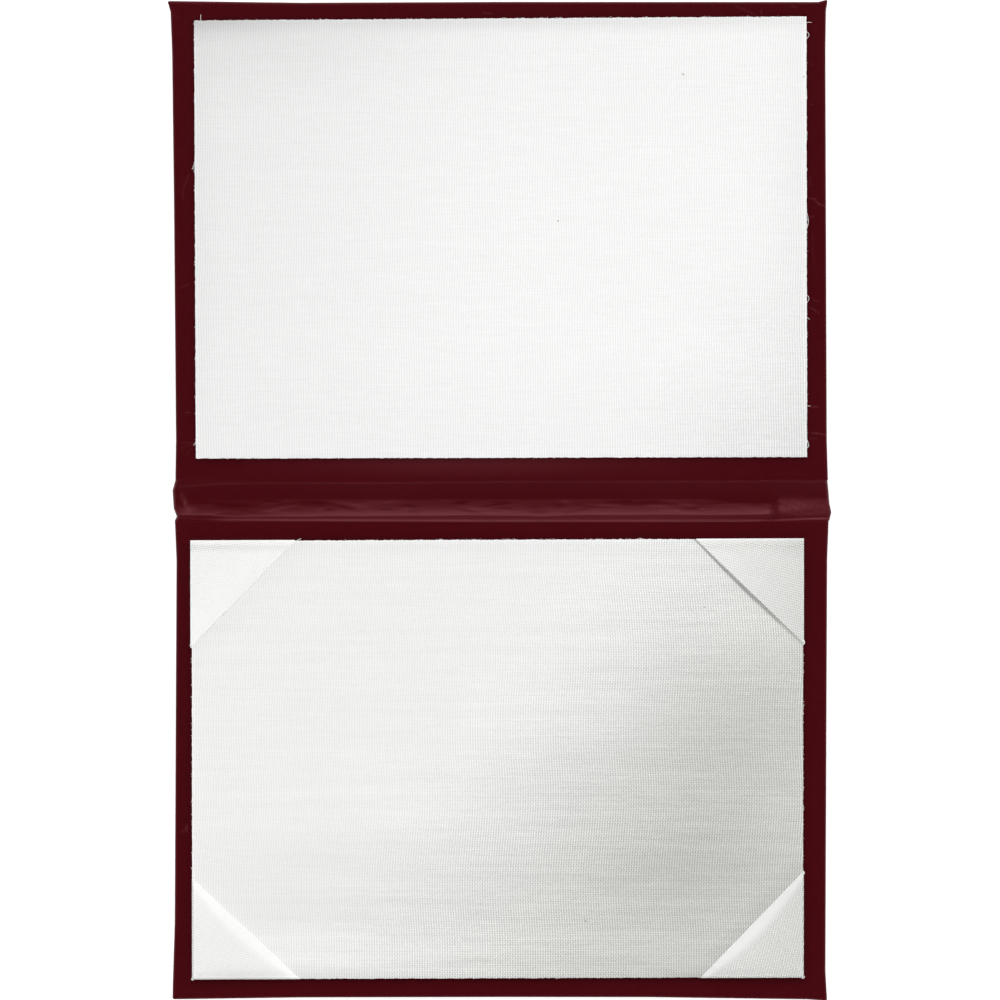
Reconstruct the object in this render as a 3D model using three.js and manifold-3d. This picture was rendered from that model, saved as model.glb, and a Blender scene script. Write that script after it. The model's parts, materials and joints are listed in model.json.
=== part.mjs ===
// A padded diploma cover, lying open and flat with its inside up.
//
// Two stiff boards carry a foam pad on their outer face. One leatherette sheet wraps both boards and the
// spine between them and is turned in round the edges. A lining strip covers the inside of the spine.
// A fabric-covered card is laid on the inside of each board, and four fabric pocket corners on the back
// cover's card hold the certificate.
//
// Millimetres. X runs along the spine, Y from the back cover to the front cover, Z up. The origin is in
// the middle of the spine, on the plane that the cover lies on.

import * as THREE from 'three';
import { mergeVertices } from 'three/addons/utils/BufferGeometryUtils.js';
import Module from 'manifold-3d';

// The certificate
const CERTIFICATE_WIDTH = 177.8;
const CERTIFICATE_HEIGHT = 127;
const CERTIFICATE_SLOT = 0.4;

// Liner panels
const LINER_ALLOWANCE = 0.95;
const CARD_THICKNESS = 0.6;
const LINER_FABRIC_THICKNESS = 0.3;
const FRONT_LINER_SHIFT_X = -0.2;
const FRONT_LINER_SHIFT_Y = 0.4;
const FRONT_LINER_TURN_DEG = 0.3;
const BACK_LINER_SHIFT_X = -1.2;
const BACK_LINER_SHIFT_Y = 0.4;
const BACK_LINER_TURN_DEG = 0.2;

// Covers
const SIDE_MARGIN = 5.4;
const OUTER_MARGIN = 4.9;
const HINGE_MARGIN = 6.4;
const BOARD_THICKNESS = 2;
const BOARD_CORNER_RADIUS = 0.8;
const FOAM_THICKNESS = 3;
const SKIN_THICKNESS = 0.5;
const SKIN_CORNER_RADIUS = 1.2;
const TURN_IN = 15;
const FIT_GAP = 0.2;

// Padded form of the covers
const SIDE_DRAW_IN = 0.5;
const CORNER_FLARE_LENGTH = 30;
const CROWN_WIDTH = 14;
const CROWN_POWER = 2.4;
const CROWN_FLAT_CUT = 0.5;
const CROWN_RINGS = 8;
const SIDE_SEGMENTS = 10;
const CORNER_SEGMENTS = 4;

// Spine
const LINING_THICKNESS = 0.5;
const LINING_FLAP = 20;
const CREASE_BELOW_BOARD = 0.6;
const CREASE_GAP = 0.3;
const CREASE_SEGMENTS = 8;
const CLOSED_GAP = 0.45;
const SPINE_END_BULGE = 0.9;

// Pocket corners
const POCKET_CLOTH_THICKNESS = 0.25;
const POCKET_FLAP = 10;
const POCKET_WRAP_GAP = 0.15;
const POCKET_TOP_LEFT_LEGS = [31.4, 30.8];
const POCKET_TOP_RIGHT_LEGS = [31.8, 30.5];
const POCKET_BOTTOM_LEFT_LEGS = [31.4, 30];
const POCKET_BOTTOM_RIGHT_LEGS = [30, 31.6];

// Liner and cover sizes
const linerWidth = CERTIFICATE_WIDTH + 2 * LINER_ALLOWANCE;
const linerHeight = CERTIFICATE_HEIGHT + 2 * LINER_ALLOWANCE;
const coverWidth = linerWidth + 2 * SIDE_MARGIN;
const coverHeight = linerHeight + OUTER_MARGIN + HINGE_MARGIN;

// Heights of the layers, from the outer face up
const foamBottomZ = SKIN_THICKNESS;
const boardBottomZ = foamBottomZ + FOAM_THICKNESS;
const boardTopZ = boardBottomZ + BOARD_THICKNESS;
const turnInTopZ = boardTopZ + SKIN_THICKNESS;
const flapTopZ = boardTopZ + LINING_THICKNESS;
const insideZ = Math.max(turnInTopZ, flapTopZ);
const frontCardZ = insideZ;
const backCardZ = insideZ + POCKET_CLOTH_THICKNESS;
const linerThickness = CARD_THICKNESS + LINER_FABRIC_THICKNESS;
const frontTopZ = frontCardZ + linerThickness;
const backFabricTopZ = backCardZ + linerThickness;
const pocketTopZ = backFabricTopZ + CERTIFICATE_SLOT + 2 * POCKET_CLOTH_THICKNESS;

// The two creases: closed, the front liner lies CLOSED_GAP above the pocket corners
const creaseZ = boardBottomZ - CREASE_BELOW_BOARD;
const creaseY = (frontTopZ + pocketTopZ + CLOSED_GAP) / 2 - creaseZ;
const hingeWall = Math.max(SKIN_THICKNESS, LINING_THICKNESS);
const hingeEdgeY = creaseY + hingeWall + CREASE_GAP;

// Room inside the leatherette, from the cover's outline to the board
const roomInset = SIDE_DRAW_IN + SKIN_THICKNESS;
const boardInset = roomInset + FIT_GAP;
const boardHingeInset = hingeWall + FIT_GAP;

// The window that the turned-in edges leave open on the inside of a cover
const windowHalfWidth = coverWidth / 2 - TURN_IN;
const windowOuter = coverHeight - TURN_IN;

// Vertices closer than this are one
const MERGE_DISTANCE = 1e-5;

const finishes = {
  leatherette: { color: 0x460d14, roughness: 0.45, metalness: 0 },
  board: { color: 0x8f8578, roughness: 0.95, metalness: 0 },
  foam: { color: 0xe9e4d2, roughness: 1, metalness: 0 },
  card: { color: 0xdcd6c8, roughness: 0.9, metalness: 0 },
  fabric: { color: 0xf4f4f2, roughness: 0.7, metalness: 0 },
};

const wasm = await Module();
wasm.setup();

// Closed geometry to solid, with its shared vertices merged
function toSolid(geometry) {
  const bare = geometry.clone();
  bare.deleteAttribute('normal');
  bare.deleteAttribute('uv');
  const merged = mergeVertices(bare, MERGE_DISTANCE);
  return new wasm.Manifold(
    new wasm.Mesh({
      numProp: 3,
      vertProperties: new Float32Array(merged.attributes.position.array),
      triVerts: new Uint32Array(merged.index.array),
    }),
  );
}

function toGeometry(solid) {
  const mesh = solid.getMesh();
  const geometry = new THREE.BufferGeometry();
  geometry.setAttribute('position', new THREE.BufferAttribute(new Float32Array(mesh.vertProperties), 3));
  geometry.setIndex(new THREE.BufferAttribute(new Uint32Array(mesh.triVerts), 1));
  geometry.computeVertexNormals();
  return geometry;
}

function named(name, geometry, finish) {
  const mesh = new THREE.Mesh(geometry, new THREE.MeshStandardMaterial(finishes[finish]));
  mesh.name = name;
  return mesh;
}

// A box given by its lowest and highest corners
function boxBetween(low, high) {
  const size = high.map((value, axis) => value - low[axis]);
  const box = new THREE.BoxGeometry(...size);
  box.translate(...low.map((value, axis) => value + size[axis] / 2));
  return box;
}

// A flat polygon raised from z to z + height
function prism(points, z, height) {
  const shape = new THREE.Shape(points.map(([x, y]) => new THREE.Vector2(x, y)));
  const geometry = new THREE.ExtrudeGeometry(shape, { depth: height, bevelEnabled: false });
  geometry.translate(0, 0, z);
  return geometry;
}

// A profile in the (y, z) plane carried along X between two stations
function alongSpine(profile, startX, endX) {
  const shape = new THREE.Shape(profile.map(([y, z]) => new THREE.Vector2(y, z)));
  const geometry = new THREE.ExtrudeGeometry(shape, { depth: endX - startX, bevelEnabled: false });
  // Extrusion axis to +X, profile's first axis to +Y, second to +Z
  geometry.applyMatrix4(new THREE.Matrix4().set(0, 0, 1, startX, 1, 0, 0, 0, 0, 1, 0, 0, 0, 0, 0, 1));
  return geometry;
}

// Outline of one cover, counter-clockwise in (x, y), in the cover's own plane: y = 0 on the hinge side and
// y = coverHeight on the outer side. inset moves three sides in, and hingeInset the fourth. These three are
// drawn in by drawIn, and flare back out over CORNER_FLARE_LENGTH where the leatherette folds are bulky.
function coverOutline({ radius, inset, hingeInset, drawIn }) {
  const left = -coverWidth / 2 + inset;
  const right = coverWidth / 2 - inset;
  const bottom = hingeInset;
  const top = coverHeight - inset;
  const points = [];
  const corner = (cx, cy, startAngle) => {
    for (let i = 0; i <= CORNER_SEGMENTS; i += 1) {
      const angle = startAngle + (Math.PI / 2) * (i / CORNER_SEGMENTS);
      points.push([cx + radius * Math.cos(angle), cy + radius * Math.sin(angle)]);
    }
  };
  const side = (from, to) => {
    for (let i = 1; i < SIDE_SEGMENTS; i += 1) {
      const t = i / SIDE_SEGMENTS;
      points.push([from[0] + (to[0] - from[0]) * t, from[1] + (to[1] - from[1]) * t]);
    }
  };
  corner(left + radius, bottom + radius, Math.PI);
  side([left + radius, bottom], [right - radius, bottom]);
  corner(right - radius, bottom + radius, -Math.PI / 2);
  side([right, bottom + radius], [right, top - radius]);
  corner(right - radius, top - radius, 0);
  side([right - radius, top], [left + radius, top]);
  corner(left + radius, top - radius, Math.PI / 2);
  side([left, top - radius], [left, bottom + radius]);
  const flare = (distance) => Math.exp(-distance / CORNER_FLARE_LENGTH);
  return points.map(([x, y]) => {
    const sidePull = drawIn * (1 - flare(top - y));
    const outerPull = drawIn * (1 - Math.max(flare(x - left), flare(right - x)));
    return [x * (1 - sidePull / right), y - outerPull * Math.max(0, (y - bottom) / (top - bottom))];
  });
}

// A closed solid through rings of equal point counts, each { outline, z }, from the lowest up. The lowest
// and the highest ring are capped by fans about their middles.
function loft(rings) {
  const count = rings[0].outline.length;
  const positions = [];
  const index = [];
  for (const { outline, z } of rings) {
    for (const [x, y] of outline) positions.push(x, y, z);
  }
  for (let ring = 0; ring + 1 < rings.length; ring += 1) {
    for (let i = 0; i < count; i += 1) {
      const a = ring * count + i;
      const b = ring * count + ((i + 1) % count);
      index.push(a, b, b + count, a, b + count, a + count);
    }
  }
  const cap = (ring, facesUp) => {
    const { outline, z } = rings[ring];
    const middle = positions.length / 3;
    const sum = outline.reduce(([sx, sy], [x, y]) => [sx + x, sy + y], [0, 0]);
    positions.push(sum[0] / count, sum[1] / count, z);
    for (let i = 0; i < count; i += 1) {
      const a = ring * count + i;
      const b = ring * count + ((i + 1) % count);
      if (facesUp) index.push(middle, a, b);
      else index.push(middle, b, a);
    }
  };
  cap(0, false);
  cap(rings.length - 1, true);
  const geometry = new THREE.BufferGeometry();
  geometry.setAttribute('position', new THREE.Float32BufferAttribute(positions, 3));
  geometry.setIndex(index);
  geometry.computeVertexNormals();
  return geometry;
}

// The padded form on an outline: a crown that swells from the crease's height down to bottomZ as a
// superellipse over CROWN_WIDTH, cut flat before its full depth, with straight sides up to topZ.
function paddedForm(outline, bottomZ, topZ) {
  const outlineAt = (extra) =>
    coverOutline({ ...outline, inset: outline.inset + extra, hingeInset: outline.hingeInset + extra });
  const depth = creaseZ - bottomZ;
  const rings = [];
  for (let i = CROWN_RINGS; i >= 0; i -= 1) {
    const share = Math.sin((Math.PI / 2) * (i / CROWN_RINGS));
    const reach = (share * depth) / (depth + CROWN_FLAT_CUT);
    const rise = 1 - (1 - reach ** CROWN_POWER) ** (1 / CROWN_POWER);
    rings.push({ outline: outlineAt(CROWN_WIDTH * rise), z: creaseZ - depth * share });
  }
  rings.push({ outline: outlineAt(0), z: topZ });
  return loft(rings);
}

const boardOutline = {
  radius: BOARD_CORNER_RADIUS,
  inset: boardInset,
  hingeInset: boardHingeInset,
  drawIn: 0,
};
const roomOutline = {
  radius: BOARD_CORNER_RADIUS + FIT_GAP,
  inset: roomInset,
  hingeInset: hingeWall,
  drawIn: 0,
};
const skinOutline = {
  radius: SKIN_CORNER_RADIUS,
  inset: 0,
  hingeInset: 0,
  drawIn: SIDE_DRAW_IN,
};

// The leatherette of one cover: its padded outside, less the room for foam and board, less the window that
// its turned-in edges leave open on the inside and on the hinge side
function coverSkin() {
  const outside = toSolid(paddedForm(skinOutline, 0, turnInTopZ));
  const room = toSolid(paddedForm(roomOutline, foamBottomZ, boardTopZ));
  const cutTop = turnInTopZ + SKIN_THICKNESS;
  const window = toSolid(
    boxBetween([-windowHalfWidth, -hingeWall, boardTopZ - FIT_GAP], [windowHalfWidth, windowOuter, cutTop]),
  );
  const hingeSide = toSolid(
    boxBetween([-windowHalfWidth, -hingeWall, creaseZ], [windowHalfWidth, boardHingeInset, cutTop]),
  );
  return toGeometry(outside.subtract(room).subtract(window).subtract(hingeSide));
}

// The lining on one cover: down the hinge edge of the board, and a flap on its inner face
function hingeLining() {
  const end = windowHalfWidth - FIT_GAP;
  const profile = [
    [0, creaseZ],
    [LINING_THICKNESS, creaseZ],
    [LINING_THICKNESS, boardTopZ],
    [LINING_FLAP, boardTopZ],
    [LINING_FLAP, flapTopZ],
    [0, flapTopZ],
  ];
  return alongSpine(profile, -end, end);
}

// The spine's flat slab with a round bead on each crease axis, from the skin's face to the lining's
function spineProfile() {
  const points = [];
  for (const [sign, start] of [[1, -Math.PI / 2], [-1, Math.PI / 2]]) {
    for (let i = 0; i <= CREASE_SEGMENTS; i += 1) {
      const angle = start + Math.PI * (i / CREASE_SEGMENTS);
      const radius = Math.sin(angle) < 0 ? SKIN_THICKNESS : LINING_THICKNESS;
      points.push([sign * creaseY + radius * Math.cos(angle), creaseZ + radius * Math.sin(angle)]);
    }
  }
  return points;
}

function spinePieces() {
  const spineEnd = coverWidth / 2 + SPINE_END_BULGE;
  const slab = toSolid(alongSpine(spineProfile(), -spineEnd, spineEnd));
  const upper = (end) =>
    toSolid(boxBetween([-end, -hingeEdgeY, creaseZ], [end, hingeEdgeY, creaseZ + 2 * LINING_THICKNESS]));
  return {
    skin: toGeometry(slab.subtract(upper(windowHalfWidth))),
    lining: toGeometry(slab.intersect(upper(windowHalfWidth - FIT_GAP))),
  };
}

// Card and fabric of one liner panel, about the panel's middle
function linerPlate(z, thickness) {
  return boxBetween([-linerWidth / 2, -linerHeight / 2, z], [linerWidth / 2, linerHeight / 2, z + thickness]);
}

// A pocket corner, about the panel's middle. signX and signY pick the corner of the panel. The cloth is
// doubled over the certificate slot, goes round the panel's two edges and ends in flaps under the card.
function pocketCorner(signX, signY, [legX, legY]) {
  const wrap = POCKET_WRAP_GAP + POCKET_CLOTH_THICKNESS;
  const at = (u, w) => [signX * (linerWidth / 2 - u), signY * (linerHeight / 2 - w)];
  const wound = (points) => (signX * signY > 0 ? points : [...points].reverse());
  const slope = legY / legX;
  const outline = wound([
    at(-wrap, -wrap),
    at(legX + wrap / slope, -wrap),
    at(-wrap, legY + wrap * slope),
  ]);
  const square = (start, length) =>
    wound([at(start, start), at(length, start), at(length, length), at(start, length)]);
  const reach = legX + legY;
  const cloth = toSolid(prism(outline, insideZ, pocketTopZ - insideZ));
  const slotTop = backFabricTopZ + CERTIFICATE_SLOT;
  const panelRoom = toSolid(prism(square(-POCKET_WRAP_GAP, reach), backCardZ, slotTop - backCardZ));
  const underRoom = toSolid(
    prism(square(POCKET_FLAP, reach), insideZ - POCKET_CLOTH_THICKNESS, 2 * POCKET_CLOTH_THICKNESS),
  );
  return toGeometry(cloth.subtract(panelRoom).subtract(underRoom));
}

// Places a liner panel's middle on its cover, with the small shift and turn it was glued down with
function linerGroup(side, shiftX, shiftY, turnDegrees) {
  const group = new THREE.Group();
  const middle = hingeEdgeY + HINGE_MARGIN + linerHeight / 2;
  group.position.set(shiftX, side * middle + shiftY, 0);
  group.rotation.z = THREE.MathUtils.degToRad(turnDegrees);
  return group;
}

// A cover's own plane placed on its side of the spine
function coverGroup(side) {
  const group = new THREE.Group();
  group.position.y = side * hingeEdgeY;
  group.rotation.z = side > 0 ? 0 : Math.PI;
  return group;
}

const object = new THREE.Group();

const frontCover = coverGroup(1);
const backCover = coverGroup(-1);
for (const [cover, prefix] of [[frontCover, 'front'], [backCover, 'back']]) {
  const foamPad = paddedForm(boardOutline, foamBottomZ, boardBottomZ);
  const board = prism(coverOutline(boardOutline), boardBottomZ, BOARD_THICKNESS);
  cover.add(named(`${prefix}_cover_skin`, coverSkin(), 'leatherette'));
  cover.add(named(`${prefix}_foam_pad`, foamPad, 'foam'));
  cover.add(named(`${prefix}_board`, board, 'board'));
  cover.add(named(`${prefix}_hinge_lining`, hingeLining(), 'leatherette'));
  object.add(cover);
}

const spine = spinePieces();
object.add(named('spine_skin', spine.skin, 'leatherette'));
object.add(named('spine_lining', spine.lining, 'leatherette'));

const frontLiner = linerGroup(1, FRONT_LINER_SHIFT_X, FRONT_LINER_SHIFT_Y, FRONT_LINER_TURN_DEG);
frontLiner.add(named('front_liner_card', linerPlate(frontCardZ, CARD_THICKNESS), 'card'));
frontLiner.add(
  named('front_liner_fabric', linerPlate(frontCardZ + CARD_THICKNESS, LINER_FABRIC_THICKNESS), 'fabric'),
);
object.add(frontLiner);

const backLiner = linerGroup(-1, BACK_LINER_SHIFT_X, BACK_LINER_SHIFT_Y, BACK_LINER_TURN_DEG);
backLiner.add(named('back_liner_card', linerPlate(backCardZ, CARD_THICKNESS), 'card'));
backLiner.add(
  named('back_liner_fabric', linerPlate(backCardZ + CARD_THICKNESS, LINER_FABRIC_THICKNESS), 'fabric'),
);
const pockets = [
  ['top_left', -1, 1, POCKET_TOP_LEFT_LEGS],
  ['top_right', 1, 1, POCKET_TOP_RIGHT_LEGS],
  ['bottom_left', -1, -1, POCKET_BOTTOM_LEFT_LEGS],
  ['bottom_right', 1, -1, POCKET_BOTTOM_RIGHT_LEGS],
];
for (const [place, signX, signY, legs] of pockets) {
  backLiner.add(named(`pocket_corner_${place}`, pocketCorner(signX, signY, legs), 'fabric'));
}
object.add(backLiner);

export default object;
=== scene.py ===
"""Looks of a padded diploma cover that lies open with its inside up.

Lengths are in millimetres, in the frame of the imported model: X along the spine, Y from the back cover to the
front cover, Z up. They turn into metres where a mesh, a material or the camera is made.
"""

import json

import bpy
import numpy as np
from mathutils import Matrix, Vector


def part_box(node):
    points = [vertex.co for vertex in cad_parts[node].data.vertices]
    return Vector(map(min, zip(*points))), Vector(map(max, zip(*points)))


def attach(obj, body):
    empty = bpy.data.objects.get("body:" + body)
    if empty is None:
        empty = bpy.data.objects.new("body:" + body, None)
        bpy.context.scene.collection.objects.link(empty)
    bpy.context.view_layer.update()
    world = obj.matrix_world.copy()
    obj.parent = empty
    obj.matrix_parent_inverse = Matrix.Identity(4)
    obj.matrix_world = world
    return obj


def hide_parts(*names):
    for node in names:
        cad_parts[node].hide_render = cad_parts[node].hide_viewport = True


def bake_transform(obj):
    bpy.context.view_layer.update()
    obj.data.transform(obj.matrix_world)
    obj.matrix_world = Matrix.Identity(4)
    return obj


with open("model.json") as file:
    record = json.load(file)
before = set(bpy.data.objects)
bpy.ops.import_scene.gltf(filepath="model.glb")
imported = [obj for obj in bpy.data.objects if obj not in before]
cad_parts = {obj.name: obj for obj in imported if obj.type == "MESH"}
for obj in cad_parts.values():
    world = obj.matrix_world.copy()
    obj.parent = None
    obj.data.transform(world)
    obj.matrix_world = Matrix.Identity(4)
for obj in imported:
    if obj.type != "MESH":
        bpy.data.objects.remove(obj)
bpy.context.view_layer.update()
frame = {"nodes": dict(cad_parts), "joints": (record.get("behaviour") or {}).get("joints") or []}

MM = 0.001
# Which way along Y each cover lies from the spine
SIDES = {"front": 1, "back": -1}

# Frame of the photograph
PHOTO_WIDTH = 293.1
PHOTO_MIDDLE = (-0.44, 0.07)
CAMERA_HEIGHT = 3000.0
CAMERA_FOCUS_Z = 6.5
SENSOR_WIDTH = 36.0


def box_of(node):
    """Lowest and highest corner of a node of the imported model."""
    return np.array([list(corner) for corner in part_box(node)]) / MM


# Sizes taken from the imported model
skin_low, skin_high = box_of("front_cover_skin")
HALF_WIDTH = skin_high[0]
HINGE_Y = skin_low[1]
COVER_HEIGHT = skin_high[1] - skin_low[1]
INSIDE_Z = skin_high[2]
CREASE_Z = frame["joints"][0]["pos_m"][2] / MM
LINING_END = box_of("spine_lining")[1, 0]
foam_low, foam_high = box_of("front_foam_pad")
FOAM_INSET = HALF_WIDTH - foam_high[0]
FOAM_LOW_Z = foam_low[2]
FOAM_TOP_Z = foam_high[2]
CLOTH_LOW_Z = {cover: box_of(cover + "_liner_fabric")[0, 2] for cover in SIDES}
CLOTH_TOP_Z = {cover: box_of(cover + "_liner_fabric")[1, 2] for cover in SIDES}
POCKET_LOW_Z, POCKET_TOP_Z = box_of("pocket_corner_top_left")[:, 2]

# Leatherette
SKIN_THICKNESS = 0.45
TURN_IN = 15.0
CORNER_RADIUS = 0.6
FOLD_RADIUS = 0.7
CROWN_WIDTH = 14.0
CROWN_POWER = 2.4
CROWN_PRESSED = 0.5
CROWN_SOFTNESS = 0.25
OUTER_EASE = 20.0

# Liner panels: corners from the left end of the lower side, counter-clockwise seen from above
LINER_WIDTH = 179.7
LINER_HEIGHT = 128.9
LINER_CLOTH = 0.27
LINER_CARD = 0.55
CORNERS = {
    "front": np.array([(-89.57, 12.21), (89.56, 12.68), (89.36, 141.77), (-90.07, 140.58)]),
    "back": np.array([(-90.6, -140.35), (88.37, -139.75), (88.37, -11.28), (-90.75, -11.93)]),
}

# Valley between the boards
VALLEY_LOW_Z = 4.8
SEAM_LAP = 0.66
SEAM_STEP = 0.11
LINING_THICKNESS = 0.4
LINING_REACH = 25.4
LINING_CUT = LINING_REACH + 2
LINING_EASE = 6.0
PANEL_START = 12.2
SPINE_CUT = 10.0
SPINE_HALF = 7.3
SPINE_BOTTOM_Z = 2.35
SPINE_END_ROUND = 1.0

# Pocket corners
POCKET_CLOTH = 0.05
POCKET_FLAP = 10.0
POCKET_FOLD_RADIUS = 0.05
POCKET_ROWS = np.linspace(0, 1, 121)[:, None]
THREAD_GAP = 0.6

# Loose fibres
THREAD_RADIUS = 0.07
NUB_RADIUS = 0.2
LINT_RADIUS = 0.1
FUZZ_RADIUS = 0.045
FUZZ_COUNT = 230


# Formulas

def ramp(value, start, end):
    """Smooth step from 0 at start to 1 at end."""
    share = np.clip((value - start) / (end - start), 0, 1)
    return share * share * (3 - 2 * share)


def swell(value, middle, width):
    """Bell curve of height 1 about middle."""
    return np.exp(-(((value - middle) / width) ** 2))


# Meshes

def grid_quads(rows, columns, closed=False):
    """Quads of points stored row by row. A closed grid joins its last column to its first."""
    row = np.arange(rows - 1)[:, None] * columns
    column = np.arange(columns if closed else columns - 1)[None, :]
    after = (column + 1) % columns
    corners = (row + column, row + after, row + columns + after, row + columns + column)
    return np.stack(corners, axis=-1).reshape(-1, 4)


def new_piece(name, points, faces, material, masks=None):
    """A smooth mesh object at the origin, with crisp borders. points are in millimetres, and masks are named
    values for each point."""
    mesh = bpy.data.meshes.new(name)
    mesh.from_pydata((points.reshape(-1, 3) * MM).tolist(), [], faces)
    mesh.polygons.foreach_set("use_smooth", np.ones(len(mesh.polygons), bool))
    for mask, values in (masks or {}).items():
        spread = np.broadcast_to(values, points.shape[:-1]).astype(np.float32)
        mesh.attributes.new(mask, "FLOAT", "POINT").data.foreach_set("value", spread.ravel())
    edge_of_corner = np.empty(len(mesh.loops), np.int32)
    mesh.loops.foreach_get("edge_index", edge_of_corner)
    border = np.bincount(edge_of_corner, minlength=len(mesh.edges)) == 1
    mesh.attributes.new("sharp_edge", "BOOLEAN", "EDGE").data.foreach_set("value", border)
    mesh.materials.append(material)
    mesh.update()
    piece = bpy.data.objects.new(name, mesh)
    bpy.context.scene.collection.objects.link(piece)
    return piece


def thicken(piece, thickness):
    """Gives a surface its wall, on the side away from its faces."""
    wall = piece.modifiers.new("wall", "SOLIDIFY")
    wall.thickness = thickness * MM
    wall.offset = -1
    wall.use_even_offset = False
    return piece


def sheet_piece(name, grid, thickness, material, masks=None, turned=False):
    """A sheet from a grid of points. Its faces point along (column direction) x (row direction), or the
    other way if turned."""
    quads = grid_quads(*grid.shape[:2])
    if turned:
        quads = quads[:, ::-1]
    return thicken(new_piece(name, grid, quads.tolist(), material, masks), thickness)


def settle(piece, cover, node):
    """Lets a piece ride on a cover and stand for a node."""
    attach(piece, cover + "_cover")
    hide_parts(node)


# Shader nodes

ORIGIN = (0.0, 0.0, 0.0)
FLAT = (1.0, 1.0, 0.0)
BLACK = (0.0, 0.0, 0.0, 1)


class Wire:
    """An output of a shader node. Sums of wires, and of wires and numbers, are Math nodes."""

    def __init__(self, tree, socket):
        self.tree = tree
        self.socket = socket

    def __add__(self, other):
        return sums("ADD", self, other)

    def __sub__(self, other):
        return sums("SUBTRACT", self, other)

    def __rsub__(self, other):
        return sums("SUBTRACT", other, self)

    def __mul__(self, other):
        return sums("MULTIPLY", self, other)

    def __truediv__(self, other):
        return sums("DIVIDE", self, other)

    __radd__ = __add__
    __rmul__ = __mul__


def plug(socket, value):
    """Links a wire into a socket, or sets the socket to a plain value."""
    if isinstance(value, Wire):
        value.tree.links.new(value.socket, socket)
    else:
        socket.default_value = value


def place(tree, kind, inputs, output=0, **settings):
    """One output of a new node, with its inputs by name or number."""
    node = tree.nodes.new(kind)
    for name, value in settings.items():
        setattr(node, name, value)
    for name, value in inputs.items():
        plug(node.inputs[name], value)
    return Wire(tree, node.outputs[output])


def all_outputs(wire):
    """Every output of a wire's node, by name."""
    return {socket.name: Wire(wire.tree, socket) for socket in wire.socket.node.outputs}


def sums(operation, *values):
    """The result of one Math node."""
    tree = next(value.tree for value in values if isinstance(value, Wire))
    return place(tree, "ShaderNodeMath", dict(enumerate(values)), operation=operation)


def vectors(operation, first, second, output=0):
    """The result of one Vector Math node."""
    return place(first.tree, "ShaderNodeVectorMath", {0: first, 1: second}, output, operation=operation)


def axes_of(vector):
    """The X, Y and Z of a vector."""
    return all_outputs(place(vector.tree, "ShaderNodeSeparateXYZ", {0: vector})).values()


def fade(value, start, end, low=0.0, high=1.0):
    """A value that goes smoothly from low at start to high at end."""
    limits = dict(enumerate((value, start, end, low, high)))
    return place(value.tree, "ShaderNodeMapRange", limits, interpolation_type="SMOOTHSTEP")


def clamped(value, low=0.0, high=1.0):
    """A value held between low and high."""
    return place(value.tree, "ShaderNodeClamp", {"Value": value, "Min": low, "Max": high})


def mixed(share, first, second, held=True):
    """Colour that goes from first to second as share goes from 0 to 1, and past them if it isn't held."""
    inputs = {0: share, 6: first, 7: second}
    return place(share.tree, "ShaderNodeMix", inputs, 2, data_type="RGBA", clamp_factor=held)


def noise(vector, scale, detail=2.0, roughness=0.5):
    """Noise from 0 to 1 with a given number of cells in a metre."""
    inputs = {"Vector": vector, "Scale": scale, "Detail": detail, "Roughness": roughness}
    return place(vector.tree, "ShaderNodeTexNoise", inputs, "Fac")


def stretched(vector, scale, detail=2.0, roughness=0.5, turn=0.0):
    """Noise with its own number of cells in a metre along each axis, turned about Z."""
    inputs = {"Vector": vector, "Scale": scale, "Rotation": (0, 0, turn)}
    return noise(place(vector.tree, "ShaderNodeMapping", inputs), 1.0, detail, roughness)


def new_group(name, inputs, outputs):
    """An empty node group with float or vector inputs, given as name to default value. Gives its input wires
    and its output sockets too."""
    group = bpy.data.node_groups.new(name, "ShaderNodeTree")
    for socket_name, default in inputs.items():
        kind = "NodeSocketVector" if isinstance(default, tuple) else "NodeSocketFloat"
        socket = group.interface.new_socket(socket_name, in_out="INPUT", socket_type=kind)
        socket.default_value = default
    for socket_name in outputs:
        group.interface.new_socket(socket_name, in_out="OUTPUT", socket_type="NodeSocketFloat")
    entry = group.nodes.new("NodeGroupInput").outputs
    wires = {socket_name: Wire(group, entry[socket_name]) for socket_name in inputs}
    return group, wires, group.nodes.new("NodeGroupOutput").inputs


def use_group(group, vector, inputs):
    """Outputs of a node group placed on a vector."""
    return all_outputs(place(vector.tree, "ShaderNodeGroup", {"Vector": vector, **inputs}, node_tree=group))


def new_material(name, roughness, specular, sheen=0.0):
    """A material with a Principled shader whose even values are set. Gives its shader's inputs and its
    coordinates too."""
    material = bpy.data.materials.new(name)
    material.use_nodes = True
    shader = material.node_tree.nodes["Principled BSDF"].inputs
    shader["Roughness"].default_value = roughness
    shader["Specular IOR Level"].default_value = specular
    shader["Sheen Weight"].default_value = sheen
    return material, shader, place(material.node_tree, "ShaderNodeTexCoord", {}, "Object")


def bump(shader, height, strength, distance):
    """Roughens a shader's surface by a height from 0 to 1 that stands for distance millimetres."""
    inputs = {"Height": height, "Strength": strength, "Distance": distance * MM}
    plug(shader["Normal"], place(height.tree, "ShaderNodeBump", inputs))


def vertex_mask(material, name):
    """A value that a mesh carries at its points."""
    return place(material.node_tree, "ShaderNodeAttribute", {}, "Fac", attribute_name=name)


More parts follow.
